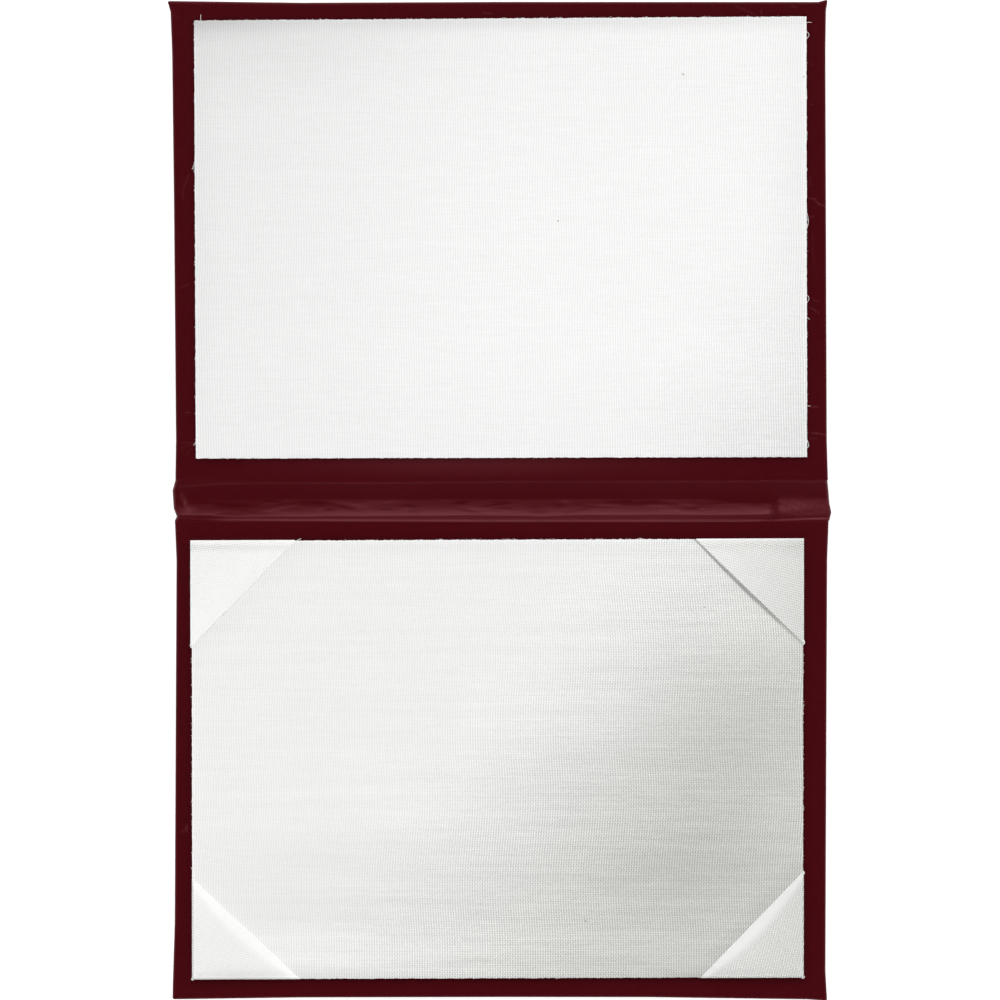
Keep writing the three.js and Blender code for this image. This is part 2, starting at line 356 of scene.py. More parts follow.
def grain_group():
    """Leather grain: pebbles parted by fine creases, with finer pores on them."""
    defaults = {"Vector": ORIGIN, "Cells": 900.0}
    group, inputs, outputs = new_group("leather_grain", defaults, ["Height", "Tone"])
    vector = inputs["Vector"]
    cells = {"Vector": vector, "Scale": inputs["Cells"]}
    pebbles = place(group, "ShaderNodeTexVoronoi", cells, "Distance", feature="DISTANCE_TO_EDGE")
    plug(outputs["Height"], noise(vector, 3500.0, detail=3.0) * 0.25 + fade(pebbles, 0.0, 0.22))
    plug(outputs["Tone"], noise(vector, 35.0, detail=4.0, roughness=0.6))
    return group


def weave_group():
    """Ribbed cloth about a middle of 0: ribs along Y that sway together and waver a little, rows of threads
    across them, a pebble where both meet, each bead a little different, and streaks and long bands where
    threads are uneven. Its pitches, sway and waver are in metres, and the rest are shares."""
    defaults = {
        "Vector": ORIGIN,
        "Rib pitch": 0.00074,
        "Thread pitch": 0.00064,
        "Sway": 0.0024,
        "Waver": 0.00012,
        "Rows": 0.3,
        "Pebble": 0.3,
        "Pebble rib": 0.763,
        "Pebble row": 0.64,
        "Bands": 0.0,
    }
    group, inputs, outputs = new_group("ribbed_weave", defaults, ["Bead", "Streak"])

    def wave(turns):
        return sums("COSINE", turns * (2 * np.pi))

    vector = inputs["Vector"]
    x, y, _ = axes_of(vector)
    sway = stretched(vector, (0.0, 30.0, 0.0), detail=0.0) - 0.5
    waver = (stretched(vector, (420.0, 620.0, 0.0)) - 0.5) * inputs["Waver"]
    rib_turns = (sway * inputs["Sway"] + x + waver) / inputs["Rib pitch"]
    row_turns = (waver + y) / inputs["Thread pitch"]
    pebble = wave(rib_turns * inputs["Pebble rib"]) * wave(row_turns * inputs["Pebble row"])
    uneven = noise(vector, 1500.0, detail=1.0) - 0.5
    bead = wave(rib_turns) + wave(row_turns) * inputs["Rows"] + pebble * inputs["Pebble"] + uneven * 1.2
    streak = stretched(vector, (80.0, 1600.0, 0.0), detail=3.0, roughness=0.6) - 0.5
    bands = stretched(vector, (14.0, 330.0, 0.0), detail=4.0, roughness=0.65) - 0.5
    plug(outputs["Bead"], bead * 0.5)
    plug(outputs["Streak"], bands * inputs["Bands"] + streak)
    return group


def patch_group():
    """A soft oval patch: 1 at its middle, 0 at its radius."""
    defaults = {"Vector": ORIGIN, "Middle": ORIGIN, "Radius": (1.0, 1.0, 1.0)}
    group, inputs, outputs = new_group("soft_patch", defaults, ["Mask"])
    away = vectors("SUBTRACT", inputs["Vector"], inputs["Middle"])
    flat = vectors("MULTIPLY", vectors("DIVIDE", away, inputs["Radius"]), FLAT)
    distance = vectors("DISTANCE", flat, ORIGIN, "Value")
    plug(outputs["Mask"], fade(distance, 0.0, 1.0, 1.0, 0.0))
    return group


def crease_group():
    """A fine straight crease from start to end: 1 on its line, 0 at its width away from it."""
    defaults = {"Vector": ORIGIN, "Start": ORIGIN, "End": (1.0, 0.0, 0.0), "Width": 0.001}
    group, inputs, outputs = new_group("fine_crease", defaults, ["Mask"])
    run = vectors("SUBTRACT", inputs["End"], inputs["Start"])
    away = vectors("SUBTRACT", vectors("MULTIPLY", inputs["Vector"], FLAT), inputs["Start"])
    share = vectors("DOT_PRODUCT", away, run, "Value") / vectors("DOT_PRODUCT", run, run, "Value")
    along = place(group, "ShaderNodeVectorMath", {0: run, "Scale": clamped(share)}, operation="SCALE")
    distance = vectors("DISTANCE", away, along, "Value")
    plug(outputs["Mask"], fade(distance, 0.0, inputs["Width"], 1.0, 0.0))
    return group


def fleck_group():
    """Paper pulp: short fibres and soft clouds."""
    group, inputs, outputs = new_group("pulp_flecks", {"Vector": ORIGIN}, ["Fleck", "Height"])
    vector = inputs["Vector"]
    short_fibres = stretched(vector, (2600.0, 700.0, 2600.0), detail=3.0, roughness=0.7, turn=0.6)
    plug(outputs["Fleck"], short_fibres * noise(vector, 160.0, detail=4.0))
    plug(outputs["Height"], short_fibres)
    return group


GRAIN = grain_group()
WEAVE = weave_group()
PATCH = patch_group()
CREASE = crease_group()
FLECK = fleck_group()


def in_metres(point, z=0.0):
    """A point of the plan in metres, at a height that is in metres already."""
    return (point[0] * MM, point[1] * MM, z)


def soft_patch(coordinates, middle, radius):
    """Mask of an oval patch, with its middle and radii in millimetres."""
    oval = {"Middle": in_metres(middle), "Radius": in_metres(radius, 1.0)}
    return use_group(PATCH, coordinates, oval)["Mask"]


def crease_line(coordinates, start, end, width):
    """Mask of a straight crease, with its ends and its width in millimetres."""
    line = {"Start": in_metres(start), "End": in_metres(end), "Width": width * MM}
    return use_group(CREASE, coordinates, line)["Mask"]


def darkest_line(coordinates, lines):
    """Mask of narrow shadows, given by their ends, width and strength, that don't add up where they meet."""
    darkest = 0.0
    for start, end, width, strength in lines:
        darkest = sums("MAXIMUM", darkest, crease_line(coordinates, start, end, width) * strength)
    return darkest


def slanted_mask(coordinates, start, end):
    """0 up to start, rising to 1 at end, in millimetres along a line that slants to the lower right."""
    x, y, _ = axes_of(coordinates)
    return fade(x * 0.8 - y * 0.6, start * MM, end * MM)


def darkened(coordinates, patches, masks):
    """Product of 1 - strength x mask over soft patches and further masks."""
    ovals = [(soft_patch(coordinates, middle, radius), strength) for middle, radius, strength in patches]
    tone = 1.0
    for mask, strength in ovals + masks:
        tone = tone * (1.0 - mask * strength)
    return tone


# Faint creases on the inside of the leatherette, drawn only as painted highlights along them: from start to
# end, and how strongly each shows
CREASE_WIDTH = 0.5
CREASES = [
    ((-89.8, 16.9), (-94.0, 16.8), 0.2),
    ((-89.8, 16.9), (-93.7, 15.4), 0.2),
    ((-89.8, 16.9), (-92.2, 13.4), 0.16),
    ((-92.6, 25.7), (-91.4, 25.7), 0.35),
    ((-91.6, 63.4), (-94.1, 62.3), 0.22),
    ((-91.6, 95.4), (-93.2, 91.7), 0.28),
    ((-93.2, 91.0), (-93.4, 88.5), 0.25),
    ((-96.2, 142.5), (-94.9, 141.1), 0.2),
    ((-5.3, 142.8), (-3.0, 142.7), 0.36),
    ((68.9, 144.8), (73.9, 142.5), 0.28),
    ((76.2, 143.6), (76.2, 142.6), 0.45),
    ((85.0, 144.8), (86.3, 144.5), 0.36),
    ((90.4, 128.0), (91.2, 127.7), 0.25),
    ((90.4, 116.0), (91.3, 115.9), 0.24),
    ((90.5, 94.8), (90.5, 92.2), 0.26),
    ((90.3, 88.5), (91.7, 88.3), 0.42),
    ((91.7, 88.3), (93.1, 86.8), 0.45),
    ((93.1, 86.8), (95.2, 86.1), 0.45),
    ((90.3, 83.1), (91.5, 83.2), 0.36),
    ((91.1, 77.9), (91.2, 75.8), 0.18),
    ((91.2, 73.8), (91.6, 69.8), 0.18),
    ((91.3, 58.7), (93.2, 58.2), 0.3),
    ((90.4, 56.6), (91.9, 55.6), 0.42),
    ((91.9, 55.6), (93.1, 54.9), 0.22),
    ((90.6, 27.4), (92.6, 27.4), 0.55),
    ((90.9, 19.6), (92.4, 19.6), 0.55),
    ((92.4, 19.6), (95.0, 19.2), 0.42),
    ((90.4, 18.1), (92.1, 18.1), 0.28),
    ((-92.2, -95.2), (-92.3, -97.0), 0.55),
    ((-92.4, -96.0), (-93.6, -97.4), 0.3),
]


def leatherette():
    """Dark red leatherette: satin, with a fine grain that the carried mask weakens on the smooth inside. It
    carries painted highlight and sheen where it is bent, and painted highlights along faint creases."""
    material, shader, coordinates = new_material("leatherette", roughness=0.4, specular=0.25)
    shader["Specular Tint"].default_value = (1.0, 0.36, 0.44, 1)
    grain = use_group(GRAIN, coordinates, {"Cells": 1100.0})
    grained = vertex_mask(material, "grain")
    lines = [crease_line(coordinates, start, end, CREASE_WIDTH) * shown for start, end, shown in CREASES]
    # Painted highlights along the creases, and the carried painted highlight and sheen where it is bent, mix
    # the red towards a pale red
    painted_highlight = sum(lines) * (1.0 - grained) + vertex_mask(material, "painted_highlight")
    plain = mixed(grain["Tone"], (0.0512, 0.0011, 0.003, 1), (0.0552, 0.0015, 0.0036, 1))
    plug(shader["Base Color"], mixed(painted_highlight, plain, (0.13, 0.027, 0.034, 1)))
    plug(shader["Roughness"], grain["Tone"] * 0.06 + 0.37)
    bump(shader, grain["Height"] * grained, strength=0.6, distance=0.08)
    return material


def woven_tone(weave, depth, streaks):
    """Brightness of ribbed cloth about 1: depth times its beads, and its streaks as a share of that."""
    return (weave["Streak"] * streaks + weave["Bead"]) * depth + 1.0


def liner_fabric(name, white, patches, shade, contrast, cut, lines):
    """White ribbed liner cloth. patches darken it softly as painted shade. shade gives where its lower right
    side of painted shade starts and ends, how much darker that is, and how much more its ribs stand out
    there. cut gives its pitches, lines its narrow painted shadows. It carries the pocket folds' painted shade
    too, and it is brighter along its sides and top edge."""
    material, shader, coordinates = new_material(name, roughness=0.75, specular=0.2, sheen=0.05)
    weave = use_group(WEAVE, coordinates, cut)
    start, end, darker, coarser = shade
    shaded = slanted_mask(coordinates, start, end)
    coarse = slanted_mask(coordinates, start - 20, end - 15)
    # Painted shade: the lower right side, the pocket folds, the narrow shadows and the soft patches
    masks = [(shaded, darker), (vertex_mask(material, "fold_shade"), 1.0)]
    if lines:
        masks.append((darkest_line(coordinates, lines), 1.0))
    value = darkened(coordinates, patches, masks)
    value = value * woven_tone(weave, coarse * (coarser * contrast) + contrast, 0.7)
    value = value * (vertex_mask(material, "rim") * 0.12 + 1.0)
    shaded_white = (white[0], 1.006 * white[1], 0.965 * white[2], 1)
    tinted = mixed(shaded * (3 * darker), white, shaded_white)
    plug(shader["Base Color"], mixed(value, BLACK, tinted, held=False))
    bump(shader, weave["Bead"], strength=0.35, distance=0.06)
    return material


# Soft patches of painted shade on the pocket corners, painted light where negative: middle, radii, and how
# much darker each is
POCKET_SHADES = [
    ((-80, -132), (40, 30), 0.055),
    ((-80, -22), (40, 30), 0.025),
    ((-76, -142), (22, 8), 0.12),
    ((76, -129), (18, 14), -0.05),
    ((67, -134), (10, 8), -0.04),
    ((89, -14), (14, 6), 0.08),
    ((84, -131), (12, 12), 0.035),
]
# How the pocket cloth is woven, as weave_group takes it
POCKET_CUT = {
    "Rib pitch": 0.00071,
    "Thread pitch": THREAD_GAP * MM,
    "Sway": 0.0,
    "Rows": 1.3,
    "Pebble": 1.5,
    "Pebble rib": 1.0,
    "Pebble row": 1.0,
}


def pocket_fabric():
    """The liner cloth turned on the bias, so that its beads stand in slanting rows. Painted shade darkens it
    towards the lower right and in soft patches, and the carried glow is painted highlight and shade. Its
    beads are pressed flat where it glows, and speckled at the lower right."""
    finish = {"roughness": 0.72, "specular": 0.2, "sheen": 0.05}
    material, shader, coordinates = new_material("pocket_fabric", **finish)
    along = {"X": vertex_mask(material, "thread_u"), "Y": vertex_mask(material, "thread_v")}
    threads = place(material.node_tree, "ShaderNodeCombineXYZ", along)
    weave = use_group(WEAVE, threads, POCKET_CUT)
    shaded = slanted_mask(coordinates, 30, 100)
    glow = vertex_mask(material, "glow")
    pressed = clamped(glow * -8.0 + 1.0, 0.2, 2.0)
    # Painted shade towards the lower right and in soft patches, and painted highlight and shade from the
    # carried glow
    value = darkened(coordinates, POCKET_SHADES, [(shaded, 0.25)])
    value = value * woven_tone(weave, (shaded * 0.17 + 0.085) * pressed, 0.3) * (glow + 1.0)
    speckle = stretched(coordinates, (3200.0, 1700.0, 0.0), roughness=0.6, turn=0.9) - 0.5
    speckle = speckle * soft_patch(coordinates, (84, -132), (30, 30)) * pressed
    value = value * (speckle * 0.75 + 1.0)
    tinted = mixed(shaded * pressed, (0.915, 0.915, 0.903, 1), (0.9, 0.905, 0.874, 1))
    plug(shader["Base Color"], mixed(value, BLACK, tinted, held=False))
    bump(shader, weave["Bead"], strength=0.4, distance=0.06)
    return material


def pulp(name, dark, light):
    """Board or card made of paper pulp."""
    material, shader, coordinates = new_material(name, roughness=0.95, specular=0.2)
    fleck = use_group(FLECK, coordinates, {})
    plug(shader["Base Color"], mixed(fleck["Fleck"], dark, light))
    bump(shader, fleck["Height"], strength=0.4, distance=0.08)
    return material


def foam():
    """Open-cell foam."""
    material, shader, coordinates = new_material("foam", roughness=1.0, specular=0.1)
    grid = {"Vector": coordinates, "Scale": 1800.0}
    cells = place(material.node_tree, "ShaderNodeTexVoronoi", grid, "Distance")
    plug(shader["Base Color"], mixed(cells, (0.52, 0.47, 0.36, 1), (0.86, 0.82, 0.7, 1)))
    bump(shader, cells, strength=0.8, distance=0.2)
    return material


def fibre(name, roughness, cells, dark, light):
    """Loose yarn or lint with a mottled colour."""
    material, shader, coordinates = new_material(name, roughness, specular=0.2)
    plug(shader["Base Color"], mixed(noise(coordinates, cells), dark, light))
    return material


# Soft patches of painted shade on the liner panels, painted light where negative: middle, radii, and how much
# darker each is
FRONT_SHADES = [
    ((-112, 80), (130, 150), 0.1),
    ((-95, 150), (120, 42), 0.13),
    ((0, 148), (220, 13), 0.36),
    ((-92, 146), (50, 14), 0.28),
    ((100, 4), (75, 60), 0.15),
    ((104, 76), (34, 120), 0.12),
    ((0, 6), (200, 45), 0.04),
    ((-60, 150), (170, 80), 0.05),
    ((-92, 90), (12, 130), 0.05),
    ((76, 55), (26, 22), 0.03),
]
BACK_SHADES = [
    ((0, -8), (220, 12), 0.045),
    ((45, -82), (48, 50), 0.05),
    ((62, -62), (35, 35), 0.06),
    ((77, -35), (27, 20), -0.07),
    ((-70, -121), (22, 16), 0.02),
    ((5, -84), (42, 22), 0.035),
    ((60, -108), (40, 24), 0.075),
    ((-25, -108), (100, 20), 0.06),
    ((-38, -121), (60, 10), 0.06),
    ((16, -131), (48, 11), -0.05),
    ((-75, -148), (105, 14), 0.42),
    ((52, -147), (22, 13), 0.25),
]
# Narrow shadow under the fold of the top right pocket, bowed out at its middle: ends, width and strength
TOP_RIGHT_SHADOW = [
    ((56.75, -11.55), (65.83, -20.97), 0.5, 0.47),
    ((65.83, -20.97), (73.62, -28.68), 0.6, 0.41),
    ((73.62, -28.68), (81.62, -36.18), 0.6, 0.29),
    ((81.62, -36.18), (88.15, -42.05), 0.52, 0.2),
]
# How each liner cloth is woven, as weave_group takes it
FRONT_CUT = {
    "Thread pitch": 0.000606,
    "Sway": 0.003,
    "Rows": 0.35,
    "Pebble": 0.2,
    "Bands": 0.38,
}
BACK_CUT = {
    "Rib pitch": 0.000737,
    "Thread pitch": 0.00067,
    "Sway": 0.006,
    "Rows": 0.4,
    "Pebble": 0.65,
    "Bands": 0.95,
}
LEATHERETTE = leatherette()
LINER_FABRIC = {
    "front": liner_fabric(
        "front_liner_fabric",
        white=(0.91, 0.91, 0.905, 1),
        patches=FRONT_SHADES,
        shade=(25, 85, 0.0, 1.3),
        contrast=0.13,
        cut=FRONT_CUT,
        lines=[],
    ),
    "back": liner_fabric(
        "back_liner_fabric",
        white=(0.852, 0.852, 0.845, 1),
        patches=BACK_SHADES,
        shade=(29, 112, 0.312, 2.4),
        contrast=0.12,
        cut=BACK_CUT,
        lines=TOP_RIGHT_SHADOW,
    ),
}
POCKET_FABRIC = pocket_fabric()
BOARD = pulp("grey_board", (0.16, 0.14, 0.11, 1), (0.42, 0.37, 0.31, 1))
CARD = pulp("liner_card", (0.6, 0.56, 0.47, 1), (0.84, 0.8, 0.72, 1))
FOAM = foam()
THREAD = fibre("thread", 0.8, 6000.0, (0.8, 0.8, 0.78, 1), (1.0, 1.0, 0.98, 1))
LINT_FIBRE = fibre("lint", 0.9, 4000.0, (0.06, 0.06, 0.05, 1), (0.25, 0.24, 0.2, 1))


# Covers

def perimeter(long_count=170, short_count=130, corner_count=9):
    """Places round a rounded rectangle, counter-clockwise: their shares of the straight half sides, and the
    outward directions there. Places crowd towards the corners as a sine."""

    def crowded(count):
        even = np.linspace(-1, 1, count + 2)[1:-1]
        return 0.2 * even + 0.8 * np.sin(even * np.pi / 2)

    def direction(angle):
        return np.stack([np.cos(angle), np.sin(angle)], -1)

    shares = []
    outward = []
    for quarter, count in enumerate((long_count, short_count, long_count, short_count)):
        start = -np.pi / 2 + quarter * np.pi / 2
        turn = np.array([direction(start + np.pi / 2), direction(start)])
        shares.append(np.stack([crowded(count), np.ones(count)], 1) @ turn)
        outward.append(np.tile(turn[1], (count, 1)))
        shares.append(np.tile(turn[0] + turn[1], (corner_count, 1)))
        outward.append(direction(start + np.linspace(0, np.pi / 2, corner_count)))
    return np.concatenate(shares), np.concatenate(outward)


SHARES, OUTWARD = perimeter()

# Where the sides and outer edges of the covers lie: the sides as x over the distance v from the hinge, and
# the outer edge as a step outwards over x. Bulky folds push the four outer corners out.
OUTLINES = {
    "front": {
        "left": ([0, 12, 82, 126, 137, 140], [-95.65, -95.45, -96.06, -96.6, -97.05, -97.95]),
        "right": ([0, 12, 126, 137, 140], [95.75, 95.4, 94.98, 95.16, 95.65]),
        "outer": ([-96.6, -59, 0, 92.8, 95.2], [0.62, 0.11, 0.36, 0.33, 0.98]),
    },
    "back": {
        "left": ([0, 12, 118, 135, 140], [-95.8, -95.3, -95.82, -96.36, -96.5]),
        "right": ([0, 12, 132, 140], [95.95, 95.5, 95.0, 95.5]),
        "outer": ([-95.7, -59, 0, 43, 90, 95.2], [0.55, 0.03, -0.1, -0.06, 0.58, 1.0]),
    },
}


def cover_rings(cover, inset, z):
    """Rings round one cover's outline, each drawn in by inset and at height z. Each point keeps its share of
    the width while the sides follow their lines, and the outer edge's step fades out over OUTER_EASE."""
    outline = OUTLINES[cover]
    inset = inset[:, None]
    x = SHARES[:, 0] * (HALF_WIDTH - inset - CORNER_RADIUS) + OUTWARD[:, 0] * CORNER_RADIUS
    half_height = COVER_HEIGHT / 2
    v = half_height + SHARES[:, 1] * (half_height - inset - CORNER_RADIUS) + OUTWARD[:, 1] * CORNER_RADIUS
    left = np.interp(v, *outline["left"])
    right = np.interp(v, *outline["right"])
    x = (left + right) / 2 + x / HALF_WIDTH * (right - left) / 2
    v = v + np.interp(x, *outline["outer"]) * ramp(v, COVER_HEIGHT - OUTER_EASE, COVER_HEIGHT)
    return np.stack(np.broadcast_arrays(x, SIDES[cover] * (HINGE_Y + v), z[:, None]), axis=-1)


def crown(bottom_z, count):
    """Insets and heights of a padded crown, from the flat bottom out to the side: a superellipse that would
    reach CROWN_PRESSED below bottom_z, pressed flat there with a soft edge."""
    share = np.sin(np.linspace(np.pi / 2, 0, count))
    inset = CROWN_WIDTH * (1 - (1 - share**CROWN_POWER) ** (1 / CROWN_POWER))
    sunk = CREASE_Z - bottom_z - (CREASE_Z - bottom_z + CROWN_PRESSED) * share
    lifted = 0.5 * (sunk + np.sqrt(sunk**2 + CROWN_SOFTNESS**2))
    return inset, bottom_z + lifted - lifted[0] * share**4


def ring_piece(name, cover, inset, z, material, masks=None, capped_top=False):
    """A skin through rings round a cover, from the middle of the outer face, with a flat cap there and, if
    capped_top, another at its end."""
    rings = cover_rings(cover, inset, z)
    count, around = rings.shape[:2]
    quads = grid_quads(count, around, closed=True)
    caps = [np.arange(around)[::-1]]
    if capped_top:
        caps.append(np.arange(around) + (count - 1) * around)
    if SIDES[cover] < 0:
        quads = quads[:, ::-1]
        caps = [cap[::-1] for cap in caps]
    return new_piece(name, rings, quads.tolist() + [cap.tolist() for cap in caps], material, masks)


def cover_leatherette(cover):
    """The leatherette of one cover: flat outer face, padded crown, side, and an edge turned in on the
    inside."""
    crown_inset, crown_z = crown(0.0, 18)
    flat_inset = np.array([60.0, 45.0, 32.0, 24.0, 18.0])
    side_z = np.linspace(CREASE_Z, INSIDE_Z - FOLD_RADIUS, 7)[1:-1]
    angle = np.linspace(0, np.pi / 2, 9)
    fold_inset = FOLD_RADIUS * (1 - np.cos(angle))
    fold_z = INSIDE_Z - FOLD_RADIUS * (1 - np.sin(angle))
    inside_inset = np.array([1.1, 1.7, 2.5, 3.5, 5.0, 7.0, 10.0, TURN_IN])
    inside_z = INSIDE_Z - 0.05 * ramp(inside_inset, 1.0, 3.0)
    inset = np.concatenate([flat_inset, crown_inset, 0 * side_z, fold_inset, inside_inset])
    z = np.concatenate([0 * flat_inset, crown_z, side_z, fold_z, inside_z])
    grain = 1 - 0.75 * ramp(z, INSIDE_Z - 1.5, INSIDE_Z - 0.1)
    masks = {"grain": grain[:, None]}
    piece = ring_piece(cover + "_cover_leatherette", cover, inset, z, LEATHERETTE, masks)
    thicken(piece, SKIN_THICKNESS)
    settle(piece, cover, cover + "_cover_skin")


def cover_foam(cover):
    """The foam pad of one cover, with the same crown under the board."""
    crown_inset, crown_z = crown(FOAM_LOW_Z, 14)
    inset = np.concatenate([[60.0, 40.0, 24.0], crown_inset, [0.0, 0.15, 1.0, 12.0, 40.0]]) + FOAM_INSET
    z = np.concatenate([np.full(3, FOAM_LOW_Z), crown_z, [FOAM_TOP_Z - 0.2], np.full(4, FOAM_TOP_Z)])
    piece = ring_piece(cover + "_foam", cover, inset, z, FOAM, capped_top=True)
    settle(piece, cover, cover + "_foam_pad")


for cover_name in SIDES:
    cover_leatherette(cover_name)
    cover_foam(cover_name)


# Spine

WRINKLE_COUNT = 110
WRINKLE_RANGES = {
    "x": (-90, 92),
    "y": (-4.0, 0.5),
    "slope": (-0.22, 0.22),
    "length": (1.2, 5.5),
    "width": (0.22, 0.7),
    "height": (-1, 1),
}
wrinkle_draw = np.random.default_rng(11)
WRINKLES = {name: wrinkle_draw.uniform(*limits, WRINKLE_COUNT) for name, limits in WRINKLE_RANGES.items()}


def wrinkle_sum(x, y):
    """Sum of long bell curves along slanting lines, from about -1 to 1."""
    x = x[..., None]
    shifted = y[..., None] - WRINKLES["y"] - WRINKLES["slope"] * (x - WRINKLES["x"])
    along = swell(x, WRINKLES["x"], WRINKLES["length"])
    return (WRINKLES["height"] * along * swell(shifted, 0, WRINKLES["width"])).sum(-1)


def star(x, y):
    """A short steep fold across the spine's left end: a bell curve across it and another along it."""
    star_x = x + 92.8
    star_y = y + 0.6
    return swell(0.93 * star_x + 0.36 * star_y, 0, 0.5) * swell(0.36 * star_x - 0.93 * star_y, 0, 2.4)


def ridge_y(x):
    """Distance of the valley's ridge from the spine's middle."""
    places = [-96, -86, -79, -68, -30, -8, 4, 12, 19, 50, 66, 79, 97]
    line = [4.3, 4.4, 4.92, 4.78, 4.67, 4.48, 4.62, 4.82, 4.45, 4.34, 4.42, 4.1, 4.1]
    return np.interp(x, places, line) + 0.04 * np.sin(x / 3.1 + 2)


def board_edge_y(x):
    """Distance of the back board's edge from the spine's middle."""
    places = [-96, -92, -85, -68, -5, 72, 83, 90, 97]
    return np.interp(x, places, [5.3, 5.6, 6.0, 6.1, 6.36, 6.34, 6.1, 5.82, 5.6])


def lip_y(x):
    """Distance of the fine lip at the front board's edge from the spine's middle."""
    return np.interp(x, [-96, -92.7, -83, -66, -33, 0, 64, 96], [4.0, 4.1, 4.75, 5.0, 5.05, 5.4, 5.5, 5.4])


def valley_z(x, y):
    """Height of the leatherette between the boards, over x and y.

    It hangs slack: from a fine lip at the front board's edge it falls to its lowest line near the middle,
    then rises with a growing slope to a ridge, goes on more gently and steps up to the back board's edge. It
    is shallower at the left, and a dip at the right marks where the lining ends."""
    back = -y
    left = ramp(-x, 35, 75)
    left_end = ramp(-x, 78, 88)
    right_end = ramp(x, 79.5, 81)
    sway = np.sin(x / 8.3 + 1) + 0.7 * np.sin(x / 3.7 + 2.2) + 0.5 * np.sin(x / 21)
    low_line = 0.5 - 0.3 * sway * swell(x, 0, 75) - 1.2 * right_end
    ridge = ridge_y(x)
    board_edge = board_edge_y(x)
    lip = lip_y(x)
    low_z = VALLEY_LOW_Z + 0.45 * left
    lip_z = INSIDE_Z + 0.1
    ridge_z = INSIDE_Z - 0.4 + 0.04 * np.sin(x / 13) + 0.32 * left_end
    fall = np.clip((y + low_line) / (lip + low_line), 0, 1) ** 1.3
    power = 2.0 - 0.8 * right_end + 0.8 * left - 0.9 * left_end
    rise = np.clip((back - low_line) / (ridge - low_line), 0, 1) ** power
    rise = rise * (1 - 0.6 * swell(x, 79.7, 0.8))
    z = low_z + (lip_z - low_z) * fall + (ridge_z - low_z) * rise + 0.06 * swell(y, lip, 0.18)
    after = 0.22 - 0.12 * left_end
    z = z + after * np.clip((back - ridge) / 1.4, 0, 1)
    step = INSIDE_Z + 0.06 - ridge_z - after
    step_start = np.maximum(board_edge - 0.75, ridge + 0.4)
    z = z + step * ramp(back, step_start, np.maximum(board_edge + 0.05, ridge + 0.9))
    z = z - (lip_z - INSIDE_Z) * ramp(y, 5.5, PANEL_START) - 0.06 * ramp(back, 6.2, PANEL_START)
    return z + 0.14 * star(x, y) + 0.04 * wrinkle_sum(x, y)


def valley_painted_highlight(x, y):
    """How pale the bent leatherette is painted, as painted highlight and sheen where its slopes and margins
    catch the light: blotchy along the rising slope up to its ridge, beyond the ridge and along the back
    board's edge, more at both ends, and on the front margin."""
    back = -y
    ridge = ridge_y(x)
    edge = board_edge_y(x)
    left = ramp(x, -100, -40)
    middle = left * (1 - ramp(x, 78, 80))
    rim = swell(x, 42, 20)
    start = 1.1 * ramp(x, 58, 70)
    slope = ramp(back, start - 0.7, start + 0.3) * ramp(-back, -ridge - 0.1, -ridge + 0.3)
    slope = slope * (1 - 0.75 * swell(back, 0.8, 0.45) * rim)
    lining = 0.23 + 0.17 * ramp(back, 1.5, 4) + 0.16 * ramp(back, 3, 4.3) + 0.34 * wrinkle_sum(x, y)
    lining = slope * middle * lining + 0.12 * rim * swell(back, 0.0, 0.3)
    beyond = 0.15 * ramp(back, ridge, ridge + 0.4) * ramp(-back, -edge, 0.3 - edge) * middle
    beyond = beyond * (1 - 0.85 * ramp(x, 45, 72))
    edge_line = 0.36 * swell(back, edge - 0.2, 0.3) * left * (1 - 0.35 * ramp(x, 50, 79))
    blotch = 1 + 0.3 * np.sin(2.3 * x + 1.1 * y) * np.sin(1.9 * y - 0.8 * x) + 0.6 * wrinkle_sum(x, y)
    pad_end = np.interp(x, [80, 82.5, 87, 97], [3.7, 4.0, 4.9, 4.9])
    right_end = 0.52 * blotch * swell(back, 1.7, 2.1) * ramp(-back, -pad_end - 0.1, -pad_end + 0.6)
    right_end = right_end * ramp(x, 80.7, 82) * (1 - 0.5 * ramp(x, 86, 94))
    tail_y = np.interp(x, [78, 83, 89, 97], [6.1, 5.85, 5.35, 5.5])
    right_end = right_end + (0.1 + 0.25 * swell(x, 92.5, 3)) * swell(back, tail_y, 0.3) * ramp(x, 78, 80)
    left_end = 0.2 * ramp(back, 1.4, 2.8) * ramp(-back, -ridge, -ridge + 0.5) * swell(x, -92.5, 2.6)
    left_end = left_end + 0.26 * swell(x, -91.2, 1.5) * swell(back, 2.7, 0.9)
    front = 0.012 * ramp(y, -0.6, 0.4) * ramp(-y, -6, -5) + 0.07 * swell(y, lip_y(x), 0.2)
    margin = 0.25 * swell(x, -8, 45) * ramp(y, 4.8, 11)
    ridge_line = 0.3 * swell(back, ridge - 0.15, 0.3) * ramp(-x, 40, 70)
    lower = beyond + edge_line + front + margin
    return np.clip(lining + right_end + left_end + ridge_line + lower + 0.7 * star(x, y), 0, 1)


def across_spine(side, fine_reach, far):
    """Distances from the spine's middle for one half, in order of rising y: from a lap past the middle, fine
    over the bend, then wider."""
    fine = np.arange(-SEAM_LAP, fine_reach + 0.001, SEAM_STEP)
    wide = np.linspace(fine_reach, far, 9)[1:]
    distance = np.concatenate([fine, wide])
    return distance if side > 0 else -distance[::-1]


def spine_half(name, cover, grid, painted_highlight, grain, cut, nodes, turned=False):
    """Half of a sheet between the spine and its cover, which stands for some nodes."""
    # Carries the painted highlight and sheen of the bent leatherette
    masks = {"grain": grain, "painted_highlight": painted_highlight}
    piece = sheet_piece(cover + name, grid, LINING_THICKNESS, LEATHERETTE, masks, turned)
    if SIDES[cover] > 0:
        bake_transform(piece)
    else:
        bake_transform(piece)
    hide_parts(*nodes)
    cut[0] * MM
    cut[1] * MM


